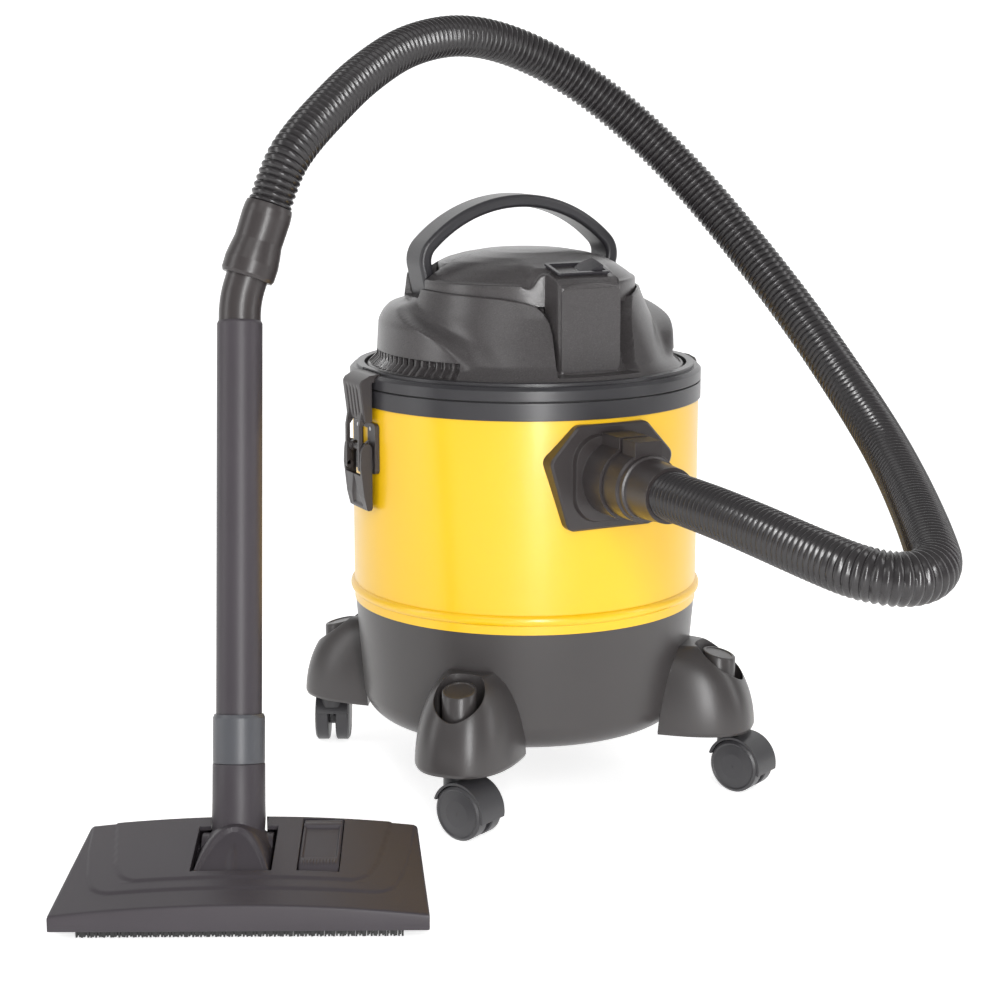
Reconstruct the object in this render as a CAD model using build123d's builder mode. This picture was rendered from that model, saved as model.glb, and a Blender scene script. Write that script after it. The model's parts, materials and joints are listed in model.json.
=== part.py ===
"""Wet and dry shop vacuum: drum on four casters, lift-off motor head, hose, wand and floor nozzle.

Lengths are millimetres, +Z is up and the floor is z = 0. Every piece is drawn about the drum's axis,
and save() moves it so that the origin is the centre of the footprint. The front, -Y, is the hose inlet.
"""

import os
from math import cos, degrees, radians, sin, tan

from build123d import *

# Place of the drum's axis, from the centre of the footprint
AXIS_X = 174.8
AXIS_Y = 80.4

# Drum
TANK_R = 165.0
SHELL_T = 1.2
WALL = 4.0
BASE_BOTTOM = 60.0
SHELL_BOTTOM = 175.0
BEAD_Z = 188.0
RIM_BOTTOM = 370.0
RIM_TOP = 386.0
FLANGE_BOTTOM = 387.4
FLANGE_R = 167.0

# Head
DECK_TOP = 396.0
LID_Z = 478.0
CROWN_Z = 509.0
SKIN = 3.0
COWL_HALF = 38.0
COWL_FRONT = -138.0
PANEL_HALF = 30.0
PANEL_FRONT = -128.0
HANDLE_Y = 25.0
HANDLE_WIDTH = 36.0
HANDLE_T = 12.0
HANDLE_TOP = 558.0
HANDLE_REACH = 105.0

# Feet and casters
FOOT_R = 180.0
FOOT_HALF = 48.0
PEG_AT = 194.0
PEG_R = 15.5
STEM_AT = 205.0
STEM_R = 5.0
STEM_FOOT = 49.5
SCREW_AT = 22.0
SCREW_Z = 100.0
WHEEL_R = 25.0
WHEEL_IN = 3.7
WHEEL_OUT = 17.0
AXLE_R = 2.5
HOOD_R = 28.2
TRAIL = 15.0
FIT = 0.05
CORNERS = {
    "front_left": (-135.0, -64.5),
    "front_right": (-45.0, -64.0),
    "rear_right": (45.0, 40.0),
    "rear_left": (135.0, 62.5),
}

# Hose inlet
INLET_Z = 318.0
CUFF_END = 268.0
SOCKET_END = 205.0
PLATE_FRONT = 169.5
HOSE_D = 38.0
HOSE_BORE = 32.0

# Nozzle, neck and wand
PIVOT = Vector(-364, -182, 30)
NOZZLE_TURN = -26.0
WAND_LEAN = 14.0
WAND_TOP = 448.0
WAND_R = 19.2
ELBOW_R = 17.8
NOZZLE_FRONT = -111.0
NOZZLE_REAR = 25.0
NOZZLE_HALF_FRONT = 153.5
NOZZLE_HALF_REAR = 138.5
NOZZLE_SHIFT = 11.0
COVER_BOTTOM = 8.0
COVER_T = 2.5
TOP_FRONT = 31.0
TOP_RISE = 23.5
TOP_SAG = 11.5
PEDAL_AT = 70.5
PEDAL_HALF = 16.5
PEDAL_V = 92.3
PEDAL_LENGTH = 80.0
ROLLER_AT = 95.0
ROLLER_R = 8.0

# Latches, as distance from the drum's axis and height
LATCH_PIVOT = (173.5, 332.0)
LINK_PIVOT = (176.5, 314.0)
RIVET_Y = 14.2
RIVET_ROWS = (314.5, 350.5)
LATCH_HALF = 20.5

# Points of the hose from the inlet cuff to the wand cuff, about the drum's axis
HOSE_ROUTE = [
    (0, -268, 318),
    (0, -322, 318),
    (7, -390, 312),
    (18, -456, 303),
    (28, -508, 297),
    (57, -528, 293),
    (91, -517, 296),
    (117, -470, 306),
    (150, -411, 317),
    (184, -344, 332),
    (211, -277, 355),
    (221, -207, 397),
    (213, -141, 453),
    (190, -80, 514),
    (157, -27, 577),
    (106, 16, 638),
    (41, 40, 684),
    (-36, 38, 707),
    (-112, 10, 698),
    (-176, -25, 669),
    (-222, -52, 638),
    (-253, -68, 614),
    (-272.8, -76.1, 591.5),
    (-284.6, -77.4, 560.7),
]

PLACE = Location((AXIS_X, AXIS_Y, 0))
os.makedirs("parts", exist_ok=True)


def save(piece, name):
    """Label a piece, stand it about the footprint's centre and write its STEP file."""
    piece.part.label = name
    piece.part.locate(PLACE)
    export_step(piece.part, f"parts/{name}.step")


def face_of(plane, *points):
    """Straight-sided face on a plane, through the points."""
    with BuildSketch(plane) as sketch:
        with BuildLine():
            Polyline(*points, close=True)
        make_face()
    return sketch.sketch


# ---------------------------------------------------------------- drum

with BuildPart() as tank_base:
    revolve(face_of(Plane.XZ, (0, BASE_BOTTOM), (155, BASE_BOTTOM), (164.2, SHELL_BOTTOM), (0, SHELL_BOTTOM)))
    fillet(tank_base.edges().group_by(Axis.Z)[0], radius=26)
    offset(amount=-WALL, openings=tank_base.faces().sort_by(Axis.Z)[-1])
    spigot_r = TANK_R - SHELL_T - 0.2
    revolve(
        face_of(
            Plane.XZ,
            (spigot_r - WALL, SHELL_BOTTOM - 8),
            (spigot_r - 0.5, SHELL_BOTTOM - 8),
            (spigot_r, SHELL_BOTTOM),
            (spigot_r, BEAD_Z - 6),
            (spigot_r - WALL, BEAD_Z - 6),
        )
    )
    for azimuth, heading in CORNERS.values():
        with BuildSketch(Plane(origin=(0, 0, SCREW_Z), x_dir=(-sin(radians(azimuth)), cos(radians(azimuth)), 0),
                               z_dir=(cos(radians(azimuth)), sin(radians(azimuth)), 0)).offset(140)):
            with Locations((-SCREW_AT, 0), (SCREW_AT, 0)):
                Circle(2.1)
        extrude(amount=30, mode=Mode.SUBTRACT)
save(tank_base, "tank_base")

with BuildPart() as tank_shell:
    with BuildSketch(Plane.XZ):
        with BuildLine():
            inner = TANK_R - SHELL_T
            Line((TANK_R, SHELL_BOTTOM), (TANK_R, BEAD_Z - 5))
            ThreePointArc((TANK_R, BEAD_Z - 5), (TANK_R + 3.6, BEAD_Z), (TANK_R, BEAD_Z + 5))
            Line((TANK_R, BEAD_Z + 5), (TANK_R, RIM_BOTTOM + 6))
            Line((TANK_R, RIM_BOTTOM + 6), (inner, RIM_BOTTOM + 6))
            Line((inner, RIM_BOTTOM + 6), (inner, BEAD_Z + 4))
            ThreePointArc((inner, BEAD_Z + 4), (inner + 3.2, BEAD_Z), (inner, BEAD_Z - 4))
            Line((inner, BEAD_Z - 4), (inner, SHELL_BOTTOM))
            Line((inner, SHELL_BOTTOM), (TANK_R, SHELL_BOTTOM))
        make_face()
    revolve(axis=Axis.Z)
    with BuildSketch(Plane.XZ.offset(TANK_R - 20)):
        with Locations((0, INLET_Z)):
            Circle(26)
    extrude(amount=30, mode=Mode.SUBTRACT)
    with BuildSketch(Plane.YZ):
        for row in RIVET_ROWS:
            with Locations((-RIVET_Y, row), (RIVET_Y, row)):
                Circle(2.05)
    extrude(amount=TANK_R + 5, both=True, mode=Mode.SUBTRACT)
save(tank_shell, "tank_shell")

with BuildPart() as tank_rim:
    revolve(
        face_of(
            Plane.XZ,
            (FLANGE_R, RIM_BOTTOM),
            (FLANGE_R, RIM_TOP),
            (161, RIM_TOP),
            (161, RIM_BOTTOM - 8),
            (163.6, RIM_BOTTOM - 8),
            (163.6, RIM_BOTTOM + 7),
            (165.2, RIM_BOTTOM + 7),
            (165.2, RIM_BOTTOM),
        )
    )
save(tank_rim, "tank_rim")

# ---------------------------------------------------------------- feet and casters

DRUM_FACE = face_of(Plane.XZ, (0, 40), (153.6, 40), (155.2, BASE_BOTTOM), (164.4, SHELL_BOTTOM), (0, SHELL_BOTTOM))

for corner, (azimuth, heading) in CORNERS.items():
    out = Vector(cos(radians(azimuth)), sin(radians(azimuth)), 0)
    across = Vector(-out.Y, out.X, 0)
    plan = Plane(origin=(0, 0, 0), x_dir=out, z_dir=(0, 0, 1))
    side = Plane(origin=(0, 0, 0), x_dir=out, z_dir=-across)
    end = Plane(origin=out * 136, x_dir=across, z_dir=out)
    with BuildPart() as foot:
        with BuildSketch(end):
            with BuildLine():
                Line((-FOOT_HALF, 58), (FOOT_HALF, 58))
                Spline((FOOT_HALF, 58), (47.4, 80), (43, 106), (31, 128), (14, 141), (0, 143.5))
                Spline((0, 143.5), (-14, 141), (-31, 128), (-43, 106), (-47.4, 80), (-FOOT_HALF, 58))
            make_face()
        extrude(amount=110)
        with BuildSketch(side):
            with BuildLine():
                Line((130, 58), (FOOT_R + FOOT_HALF, 58))
                Spline((FOOT_R + FOOT_HALF, 58), (227, 80), (219, 104), (199, 126), (170, 139), (130, 145))
                Line((130, 145), (130, 58))
            make_face()
        extrude(amount=FOOT_HALF + 5, both=True, mode=Mode.INTERSECT)
        with BuildSketch(plan.offset(50)):
            with Locations((FOOT_R, 0)):
                Circle(FOOT_HALF)
            with Locations((FOOT_R - 40, 0)):
                Rectangle(80, 2 * FOOT_HALF)
        extrude(amount=110, mode=Mode.INTERSECT)
        revolve(DRUM_FACE, axis=Axis.Z, mode=Mode.SUBTRACT)
        with BuildSketch(plan.offset(94)):
            with Locations((PEG_AT, 0)):
                Circle(23)
        extrude(amount=60, mode=Mode.SUBTRACT)
        with BuildSketch(plan.offset(90)):
            with Locations((PEG_AT, 0)):
                Circle(PEG_R)
        extrude(amount=46)
        with BuildSketch(side):
            with BuildLine():
                Polyline((PEG_AT - 20, 135), (PEG_AT + 20, 125), (PEG_AT + 20, 145), (PEG_AT - 20, 145), close=True)
            make_face()
        extrude(amount=30, both=True, mode=Mode.SUBTRACT)
        with BuildSketch(plan.offset(58)):
            with Locations((STEM_AT - 12, 0)):
                RectangleRounded(56, 76, 27)
            with Locations((STEM_AT, 0)):
                Circle(12, mode=Mode.SUBTRACT)
        extrude(amount=22, mode=Mode.SUBTRACT)
        with BuildSketch(plan.offset(50)):
            with Locations((STEM_AT, 0)):
                Circle(STEM_R + FIT)
        extrude(amount=38, mode=Mode.SUBTRACT)
        with BuildSketch(Plane(origin=out * 150 + Vector(0, 0, SCREW_Z), x_dir=across, z_dir=out)):
            with Locations((-SCREW_AT, 0), (SCREW_AT, 0)):
                Circle(2.1)
        extrude(amount=22, mode=Mode.SUBTRACT)
    save(foot, f"foot_{corner}")

    stem_foot = out * STEM_AT
    roll_dir = Vector(cos(radians(heading)), sin(radians(heading)), 0)
    axle_dir = Vector(-roll_dir.Y, roll_dir.X, 0)
    axle_at = stem_foot + roll_dir * TRAIL + Vector(0, 0, WHEEL_R)
    swivel = Plane(origin=stem_foot, x_dir=roll_dir, z_dir=(0, 0, 1))
    roll = Plane(origin=axle_at, x_dir=roll_dir, z_dir=-axle_dir)
    with BuildPart() as hood:
        with BuildSketch(roll):
            Circle(HOOD_R)
        extrude(amount=WHEEL_OUT - 0.8, both=True)
        with BuildSketch(swivel.offset(40)):
            Circle(11)
        extrude(amount=15.5)
        for gap_side in (1, -1):
            with BuildSketch(roll.offset(gap_side * (WHEEL_IN - 0.5))):
                Circle(WHEEL_R + 0.8)
            extrude(amount=gap_side * 20, mode=Mode.SUBTRACT)
        with BuildSketch(roll):
            with BuildLine():
                Polyline((-40, 12), (40, -8), (40, -40), (-40, -40), close=True)
            make_face()
        extrude(amount=30, both=True, mode=Mode.SUBTRACT)
        with BuildSketch(roll):
            Circle(9)
        extrude(amount=WHEEL_IN - 0.5, both=True)
        with BuildSketch(roll):
            Circle(AXLE_R + FIT)
        extrude(amount=10, both=True, mode=Mode.SUBTRACT)
        with BuildSketch(swivel.offset(STEM_FOOT)):
            Circle(STEM_R + FIT)
        extrude(amount=20, mode=Mode.SUBTRACT)
    save(hood, f"caster_hood_{corner}")

    with BuildPart() as pins:
        with BuildSketch(swivel.offset(STEM_FOOT)):
            Circle(STEM_R)
        extrude(amount=87 - STEM_FOOT)
        with BuildSketch(roll):
            Circle(AXLE_R)
        extrude(amount=WHEEL_OUT - 3, both=True)
    save(pins, f"caster_stem_and_axle_{corner}")

    with BuildPart() as wheels:
        for wheel_side in (1, -1):
            revolve(
                face_of(
                    Plane(origin=axle_at, x_dir=axle_dir * wheel_side, z_dir=roll_dir * wheel_side),
                    (WHEEL_IN, AXLE_R + FIT),
                    (WHEEL_IN, WHEEL_R - 1),
                    (WHEEL_IN + 1, WHEEL_R),
                    (WHEEL_OUT - 2, WHEEL_R),
                    (WHEEL_OUT, WHEEL_R - 2.5),
                    (WHEEL_OUT - 1, WHEEL_R - 4),
                    (WHEEL_OUT + 0.6, 12),
                    (WHEEL_OUT + 1, 0),
                    (WHEEL_OUT - 2.6, 0),
                    (WHEEL_OUT - 2.6, AXLE_R + FIT),
                ),
                axis=Axis(axle_at, axle_dir),
            )
    save(wheels, f"caster_wheels_{corner}")


with BuildPart() as foot_screws:
    for azimuth, heading in CORNERS.values():
        out = Vector(cos(radians(azimuth)), sin(radians(azimuth)), 0)
        across = Vector(-out.Y, out.X, 0)
        screw_plane = Plane(origin=Vector(0, 0, SCREW_Z), x_dir=across, z_dir=out)
        with BuildSketch(screw_plane.offset(151.5)):
            with Locations((-SCREW_AT, 0), (SCREW_AT, 0)):
                Circle(2)
        extrude(amount=19)
        with BuildSketch(screw_plane.offset(148.5)):
            with Locations((-SCREW_AT, 0), (SCREW_AT, 0)):
                Circle(4)
        extrude(amount=3)
save(foot_screws, "foot_screws")

# ---------------------------------------------------------------- hose inlet

FORWARD = Plane(origin=(0, 0, INLET_Z), x_dir=(1, 0, 0), z_dir=(0, -1, 0))
DRUM_SKIN = TANK_R + 0.3

with BuildPart() as inlet_plate:
    with BuildSketch(FORWARD.offset(145)):
        with BuildLine():
            Polyline((-63, 17), (-35, 48), (35, 48), (63, 17), (44, -47), (-44, -47), close=True)
        make_face()
        fillet(vertices(), radius=9)
    extrude(amount=PLATE_FRONT - 145)
    chamfer(inlet_plate.faces().sort_by(Axis.Y)[0].edges(), length=1.8)
    with BuildSketch(FORWARD.offset(PLATE_FRONT)):
        RectangleRounded(82, 80, 26)
    extrude(amount=5, taper=18)
    with BuildSketch(FORWARD.offset(PLATE_FRONT)):
        Circle(34)
    extrude(amount=SOCKET_END - PLATE_FRONT)
    with BuildSketch(FORWARD.offset(PLATE_FRONT + 4)):
        with Locations((0, 34)):
            Rectangle(28, 15)
    extrude(amount=SOCKET_END - PLATE_FRONT - 4)
    with BuildSketch(FORWARD.offset(140)):
        Circle(27.6)
    extrude(amount=100, mode=Mode.SUBTRACT)
    with BuildSketch(Plane.XY.offset(250)):
        Circle(DRUM_SKIN)
    extrude(amount=130, mode=Mode.SUBTRACT)
save(inlet_plate, "inlet_plate")

with BuildPart() as inlet_deflector:
    with BuildSketch(FORWARD.offset(128)):
        Circle(31)
    extrude(amount=30)
    with BuildSketch(FORWARD.offset(130.5)):
        Circle(28)
    extrude(amount=40, mode=Mode.SUBTRACT)
    with BuildSketch(FORWARD.offset(120)):
        with Locations((0, -35)):
            Rectangle(80, 50)
    extrude(amount=28, mode=Mode.SUBTRACT)
save(inlet_deflector, "inlet_deflector")

with BuildPart() as hose_tank_cuff:
    revolve(
        face_of(
            Plane(origin=(0, 0, INLET_Z), x_dir=(0, -1, 0), z_dir=(1, 0, 0)),
            (172, 16),
            (172, 27.5),
            (SOCKET_END + 0.3, 27.5),
            (SOCKET_END + 0.3, 31.5),
            (SOCKET_END + 23, 31),
            (SOCKET_END + 25, 29),
            (SOCKET_END + 30, 29),
            (SOCKET_END + 31, 27),
            (CUFF_END - 30, 26.5),
            (CUFF_END, 24.5),
            (CUFF_END, 16),
        ),
        axis=Axis((0, 0, INLET_Z), (0, -1, 0)),
    )
    with BuildSketch(FORWARD.offset(SOCKET_END + 4)):
        with Locations((0, 33)):
            Rectangle(27, 16)
    extrude(amount=22)
    with BuildSketch(FORWARD.offset(SOCKET_END)):
        Circle(20)
    extrude(amount=40, mode=Mode.SUBTRACT)
save(hose_tank_cuff, "hose_tank_cuff")

# ---------------------------------------------------------------- hose

points = [Vector(*point) for point in HOSE_ROUTE]
runs = [(after - before).length for before, after in zip(points, points[1:])]
radii = []
for index in range(1, len(points) - 1):
    half_turn = radians((points[index] - points[index - 1]).get_angle(points[index + 1] - points[index])) / 2
    radii.append(0.45 * min(runs[index - 1], runs[index]) / tan(half_turn))
print("hose radii", [round(radius) for radius in radii])

with BuildPart() as suction_hose:
    with BuildLine():
        centre_line = FilletPolyline(*points, radius=radii)
    with BuildSketch(Plane(origin=points[0], z_dir=points[1] - points[0])):
        Circle(HOSE_D / 2)
        Circle(HOSE_BORE / 2, mode=Mode.SUBTRACT)
    sweep()
hose_length = centre_line.length
print("hose length", round(hose_length), "tube volume over length", suction_hose.part.volume / hose_length)
save(suction_hose, "suction_hose")

# ---------------------------------------------------------------- wand

TURN_X = Vector(cos(radians(NOZZLE_TURN)), sin(radians(NOZZLE_TURN)), 0)
TURN_Y = Vector(-TURN_X.Y, TURN_X.X, 0)
WAND_DIR = TURN_Y * sin(radians(WAND_LEAN)) + Vector(0, 0, cos(radians(WAND_LEAN)))
HOSE_END = points[-1]
CUFF_DIR = (points[-2] - HOSE_END).normalized()
ELBOW = PIVOT + WAND_DIR * (WAND_TOP + 18)
wand_plane = Plane(origin=PIVOT, x_dir=TURN_X, z_dir=WAND_DIR)
wand_axis = Axis(PIVOT, WAND_DIR)
wand_side = Plane(origin=PIVOT, x_dir=WAND_DIR, z_dir=-wand_plane.y_dir)

with BuildPart() as nozzle_neck:
    with BuildSketch(wand_plane.offset(12)):
        Circle(22)
    extrude(amount=64)
    with BuildSketch(Plane(origin=PIVOT, x_dir=wand_plane.y_dir, z_dir=TURN_X)):
        Circle(18)
    extrude(amount=30, both=True)
    with BuildSketch(Plane(origin=PIVOT, x_dir=wand_plane.y_dir, z_dir=TURN_X)):
        with BuildLine():
            Polyline((0, 0), (-27, -15), (-57, -20), (-60, -7), (-43, 8), (-28, 22), (0, 27), close=True)
        make_face()
    extrude(amount=30, both=True)
    with BuildSketch(wand_plane.offset(24)):
        Rectangle(80, 60)
        Circle(26, mode=Mode.SUBTRACT)
    extrude(amount=60, mode=Mode.SUBTRACT)
    with BuildSketch(wand_plane.offset(-30)):
        Circle(16)
    extrude(amount=90, mode=Mode.SUBTRACT)
    with BuildSketch(wand_plane.offset(52)):
        Circle(19.7)
    extrude(amount=30, mode=Mode.SUBTRACT)
    with BuildSketch(Plane(origin=PIVOT, x_dir=wand_plane.y_dir, z_dir=TURN_X)):
        Circle(5)
    extrude(amount=35, both=True, mode=Mode.SUBTRACT)
save(nozzle_neck, "nozzle_neck")

with BuildPart() as neck_sleeve:
    revolve(
        face_of(
            wand_side,
            (52.2, 16.5),
            (52.2, 19.6),
            (76.2, 19.6),
            (76.2, 21.6),
            (79, 21.8),
            (114, 21.8),
            (117, 20.6),
            (117, 19.3),
            (94, 19.3),
            (94, 16.5),
        ),
        axis=wand_axis,
    )
save(neck_sleeve, "neck_sleeve")

with BuildPart() as wand_tube:
    revolve(
        face_of(
            wand_side,
            (94.5, 17.9),
            (94.5, WAND_R),
            (WAND_TOP - 2, WAND_R),
            (WAND_TOP, WAND_R - 1),
            (WAND_TOP, 17.9),
        ),
        axis=wand_axis,
    )
save(wand_tube, "wand_tube")

with BuildPart() as wand_elbow:
    with BuildLine():
        FilletPolyline(PIVOT + WAND_DIR * (WAND_TOP - 28), ELBOW, HOSE_END - CUFF_DIR * 18, radius=90)
    with BuildSketch(Plane(origin=PIVOT + WAND_DIR * (WAND_TOP - 28), z_dir=WAND_DIR)):
        Circle(ELBOW_R)
        Circle(ELBOW_R - 2.3, mode=Mode.SUBTRACT)
    sweep()
save(wand_elbow, "wand_elbow")

cuff_span = (HOSE_END - ELBOW).length
cuff_plane = Plane(origin=HOSE_END, z_dir=CUFF_DIR)
with BuildPart() as hose_wand_cuff:
    revolve(
        face_of(
            Plane(origin=HOSE_END, x_dir=CUFF_DIR, z_dir=cuff_plane.x_dir),
            (-64, ELBOW_R + 0.1),
            (-64, 21.6),
            (-61, 23),
            (-50, 23.2),
            (-42, 22.2),
            (-32, 20.6),
            (-10, 21),
            (-4, 20.6),
            (0, 19.8),
            (0, 15),
            (-17, 15),
            (-17, ELBOW_R + 0.1),
        ),
        axis=Axis(HOSE_END, CUFF_DIR),
    )
save(hose_wand_cuff, "hose_wand_cuff")

# ---------------------------------------------------------------- floor nozzle

FLOOR = Plane(origin=(PIVOT.X, PIVOT.Y, 0), x_dir=TURN_X, z_dir=(0, 0, 1))
FLOW = Plane(origin=PIVOT, x_dir=TURN_Y, z_dir=TURN_X)
top_dir = (TURN_Y * (NOZZLE_REAR - NOZZLE_FRONT) + Vector(0, 0, TOP_RISE)).normalized()
top_origin = Vector(PIVOT.X, PIVOT.Y, TOP_FRONT) + TURN_Y * NOZZLE_FRONT
TOP = Plane(origin=top_origin, x_dir=TURN_X, z_dir=TURN_X.cross(top_dir))
TOP_END = Plane(origin=top_origin - top_dir * 20, x_dir=TURN_X, z_dir=top_dir)


def nozzle_body(wall, bottom):
    """Body under the nozzle's arched top, drawn in by a wall."""
    front = NOZZLE_FRONT + wall
    rear = NOZZLE_REAR - wall
    half_front = NOZZLE_HALF_FRONT - wall
    half_rear = NOZZLE_HALF_REAR - wall
    with BuildPart() as body:
        with BuildSketch(FLOOR.offset(bottom)):
            with BuildLine():
                Polyline(
                    (NOZZLE_SHIFT - half_front, front),
                    (NOZZLE_SHIFT + half_front, front),
                    (NOZZLE_SHIFT + half_rear, rear),
                    (NOZZLE_SHIFT - half_rear, rear),
                    close=True,
                )
            make_face()
            fillet(vertices().group_by(Axis.Y)[0], radius=6 - wall)
            fillet(vertices().group_by(Axis.Y)[-1], radius=6 - wall)
        extrude(amount=60)
        with BuildSketch(TOP_END):
            with BuildLine():
                ThreePointArc(
                    (NOZZLE_SHIFT + 170, TOP_SAG + wall), (NOZZLE_SHIFT, wall), (NOZZLE_SHIFT - 170, TOP_SAG + wall)
                )
                Polyline(
                    (NOZZLE_SHIFT - 170, TOP_SAG + wall),
                    (NOZZLE_SHIFT - 170, 80),
                    (NOZZLE_SHIFT + 170, 80),
                    (NOZZLE_SHIFT + 170, TOP_SAG + wall),
                )
            make_face()
        extrude(amount=190, mode=Mode.INTERSECT)
    return body.part


with BuildPart() as nozzle_cover:
    add(nozzle_body(0, COVER_BOTTOM))
    add(nozzle_body(COVER_T, COVER_BOTTOM - 5), mode=Mode.SUBTRACT)
    with BuildSketch(FLOOR.offset(10.2)):
        with Locations((NOZZLE_SHIFT - 110, -20), (NOZZLE_SHIFT + 110, -20)):
            Circle(4.5)
        with Locations((NOZZLE_SHIFT - 110, -62), (NOZZLE_SHIFT + 110, -62)):
            Circle(4.5)
    extrude(amount=23)
    with BuildSketch(FLOOR.offset(10.2)):
        with Locations((NOZZLE_SHIFT - 110, -20), (NOZZLE_SHIFT + 110, -20)):
            Circle(4.5)
    extrude(amount=30)
    with BuildSketch(TOP.offset(-2)):
        with Locations((PEDAL_AT - PEDAL_HALF - 4, PEDAL_V), (PEDAL_AT + PEDAL_HALF + 4, PEDAL_V)):
            Rectangle(4, 12)
    extrude(amount=-10)
    with BuildSketch(TOP.offset(-15)):
        with Locations((PEDAL_AT, PEDAL_V)):
            Rectangle(2 * PEDAL_HALF + 1.6, PEDAL_LENGTH + 4)
    extrude(amount=25, mode=Mode.SUBTRACT)
    with BuildSketch(Plane(origin=TOP.origin, x_dir=top_dir, z_dir=TURN_X).offset(PEDAL_AT)):
        with Locations((PEDAL_V, -6)):
            Circle(2.5 + FIT)
    extrude(amount=30, both=True, mode=Mode.SUBTRACT)
    with BuildSketch(FLOOR.offset(16)):
        with Locations((0, -27)):
            Rectangle(66, 70)
        with Locations((0, 25)):
            Rectangle(66, 40)
    extrude(amount=40, mode=Mode.SUBTRACT)
    with BuildSketch(FLOOR):
        with Locations((NOZZLE_SHIFT - 110, -20), (NOZZLE_SHIFT + 110, -20)):
            Circle(1.55)
        with Locations((NOZZLE_SHIFT - 110, -62), (NOZZLE_SHIFT + 110, -62)):
            Circle(1.55)
    extrude(amount=26, mode=Mode.SUBTRACT)
save(nozzle_cover, "nozzle_cover")

with BuildPart() as nozzle_base:
    add(nozzle_body(COVER_T + 0.5, 3))
    with BuildSketch(FLOOR.offset(10)):
        with Locations((0, 0)):
            Rectangle(400, 300)
    extrude(amount=60, mode=Mode.SUBTRACT)
    with BuildSketch(FLOOR):
        with Locations((0, -144)):
            Rectangle(400, 100)
        with Locations((NOZZLE_SHIFT, -76)):
            SlotOverall(250, 16)
        with Locations((NOZZLE_SHIFT - ROLLER_AT, 17), (NOZZLE_SHIFT + ROLLER_AT, 17)):
            Rectangle(22, 30)
    extrude(amount=20, mode=Mode.SUBTRACT)
    for side_sign in (1, -1):
        with BuildSketch(FLOW.offset(side_sign * 30.6)):
            with BuildLine():
                Polyline((-9, -21), (9, -21), (7, 8), (-7, 8), close=True)
            make_face()
        extrude(amount=side_sign * 5.4)
        with BuildSketch(FLOW.offset(side_sign * 20)):
            Circle(5 - FIT)
        extrude(amount=side_sign * 12)
    for side_sign in (1, -1):
        with BuildSketch(FLOW.offset(NOZZLE_SHIFT + side_sign * ROLLER_AT)):
            with Locations((12, ROLLER_R - PIVOT.Z)):
                Circle(2)
        extrude(amount=11.5, both=True)
    with BuildSketch(FLOOR):
        with Locations((NOZZLE_SHIFT - 80, -45), (NOZZLE_SHIFT + 80, -45)):
            SlotOverall(70, 9)
    extrude(amount=3.5)
    with BuildSketch(FLOOR):
        with Locations((NOZZLE_SHIFT - 110, -20), (NOZZLE_SHIFT + 110, -20)):
            Circle(3.6)
        with Locations((NOZZLE_SHIFT - 110, -62), (NOZZLE_SHIFT + 110, -62)):
            Circle(3.6)
    extrude(amount=5.5, mode=Mode.SUBTRACT)
    with BuildSketch(FLOOR):
        with Locations((NOZZLE_SHIFT - 110, -20), (NOZZLE_SHIFT + 110, -20)):
            Circle(1.6)
        with Locations((NOZZLE_SHIFT - 110, -62), (NOZZLE_SHIFT + 110, -62)):
            Circle(1.6)
    extrude(amount=12, mode=Mode.SUBTRACT)
save(nozzle_base, "nozzle_base")

with BuildPart() as nozzle_screws:
    with BuildSketch(FLOOR.offset(3.2)):
        with Locations((NOZZLE_SHIFT - 110, -20), (NOZZLE_SHIFT + 110, -20)):
            Circle(3.3)
        with Locations((NOZZLE_SHIFT - 110, -62), (NOZZLE_SHIFT + 110, -62)):
            Circle(3.3)
    extrude(amount=2.2)
    with BuildSketch(FLOOR.offset(5.4)):
        with Locations((NOZZLE_SHIFT - 110, -20), (NOZZLE_SHIFT + 110, -20)):
            Circle(1.5)
        with Locations((NOZZLE_SHIFT - 110, -62), (NOZZLE_SHIFT + 110, -62)):
            Circle(1.5)
    extrude(amount=18)
save(nozzle_screws, "nozzle_screws")

with BuildPart() as nozzle_rollers:
    for side_sign in (1, -1):
        with BuildSketch(FLOW.offset(NOZZLE_SHIFT + side_sign * ROLLER_AT)):
            with Locations((12, ROLLER_R - PIVOT.Z)):
                Circle(ROLLER_R)
                Circle(2 + FIT, mode=Mode.SUBTRACT)
        extrude(amount=9, both=True)
save(nozzle_rollers, "nozzle_rollers")

with BuildPart() as brush_carrier:
    with BuildSketch(FLOOR.offset(8)):
        with Locations((NOZZLE_SHIFT, -101)):
            Rectangle(262, 10)
    extrude(amount=9)
save(brush_carrier, "brush_carrier")

with BuildPart() as brush_bristles:
    with BuildSketch(FLOOR.offset(0.3)):
        with GridLocations(5.2, 3.6, 50, 2):
            with Locations((NOZZLE_SHIFT, -101)):
                Rectangle(3.6, 2.4)
    extrude(amount=7.7)
save(brush_bristles, "brush_bristles")

with BuildPart() as nozzle_pedal:
    with BuildSketch(TOP.offset(-4)):
        with Locations((PEDAL_AT, PEDAL_V)):
            RectangleRounded(2 * PEDAL_HALF, PEDAL_LENGTH, 3)
    extrude(amount=4.6)
    with BuildSketch(Plane(origin=TOP.origin, x_dir=top_dir, z_dir=TURN_X).offset(PEDAL_AT)):
        with Locations((PEDAL_V, -6)):
            Circle(4)
    extrude(amount=PEDAL_HALF, both=True)
    with BuildSketch(Plane(origin=TOP.origin, x_dir=top_dir, z_dir=TURN_X).offset(PEDAL_AT)):
        with Locations((PEDAL_V, -6)):
            Circle(2.5)
    extrude(amount=PEDAL_HALF + 4.5, both=True)
save(nozzle_pedal, "nozzle_pedal")

# ---------------------------------------------------------------- latches

SIDES = {"right": 1, "left": -1}

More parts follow.
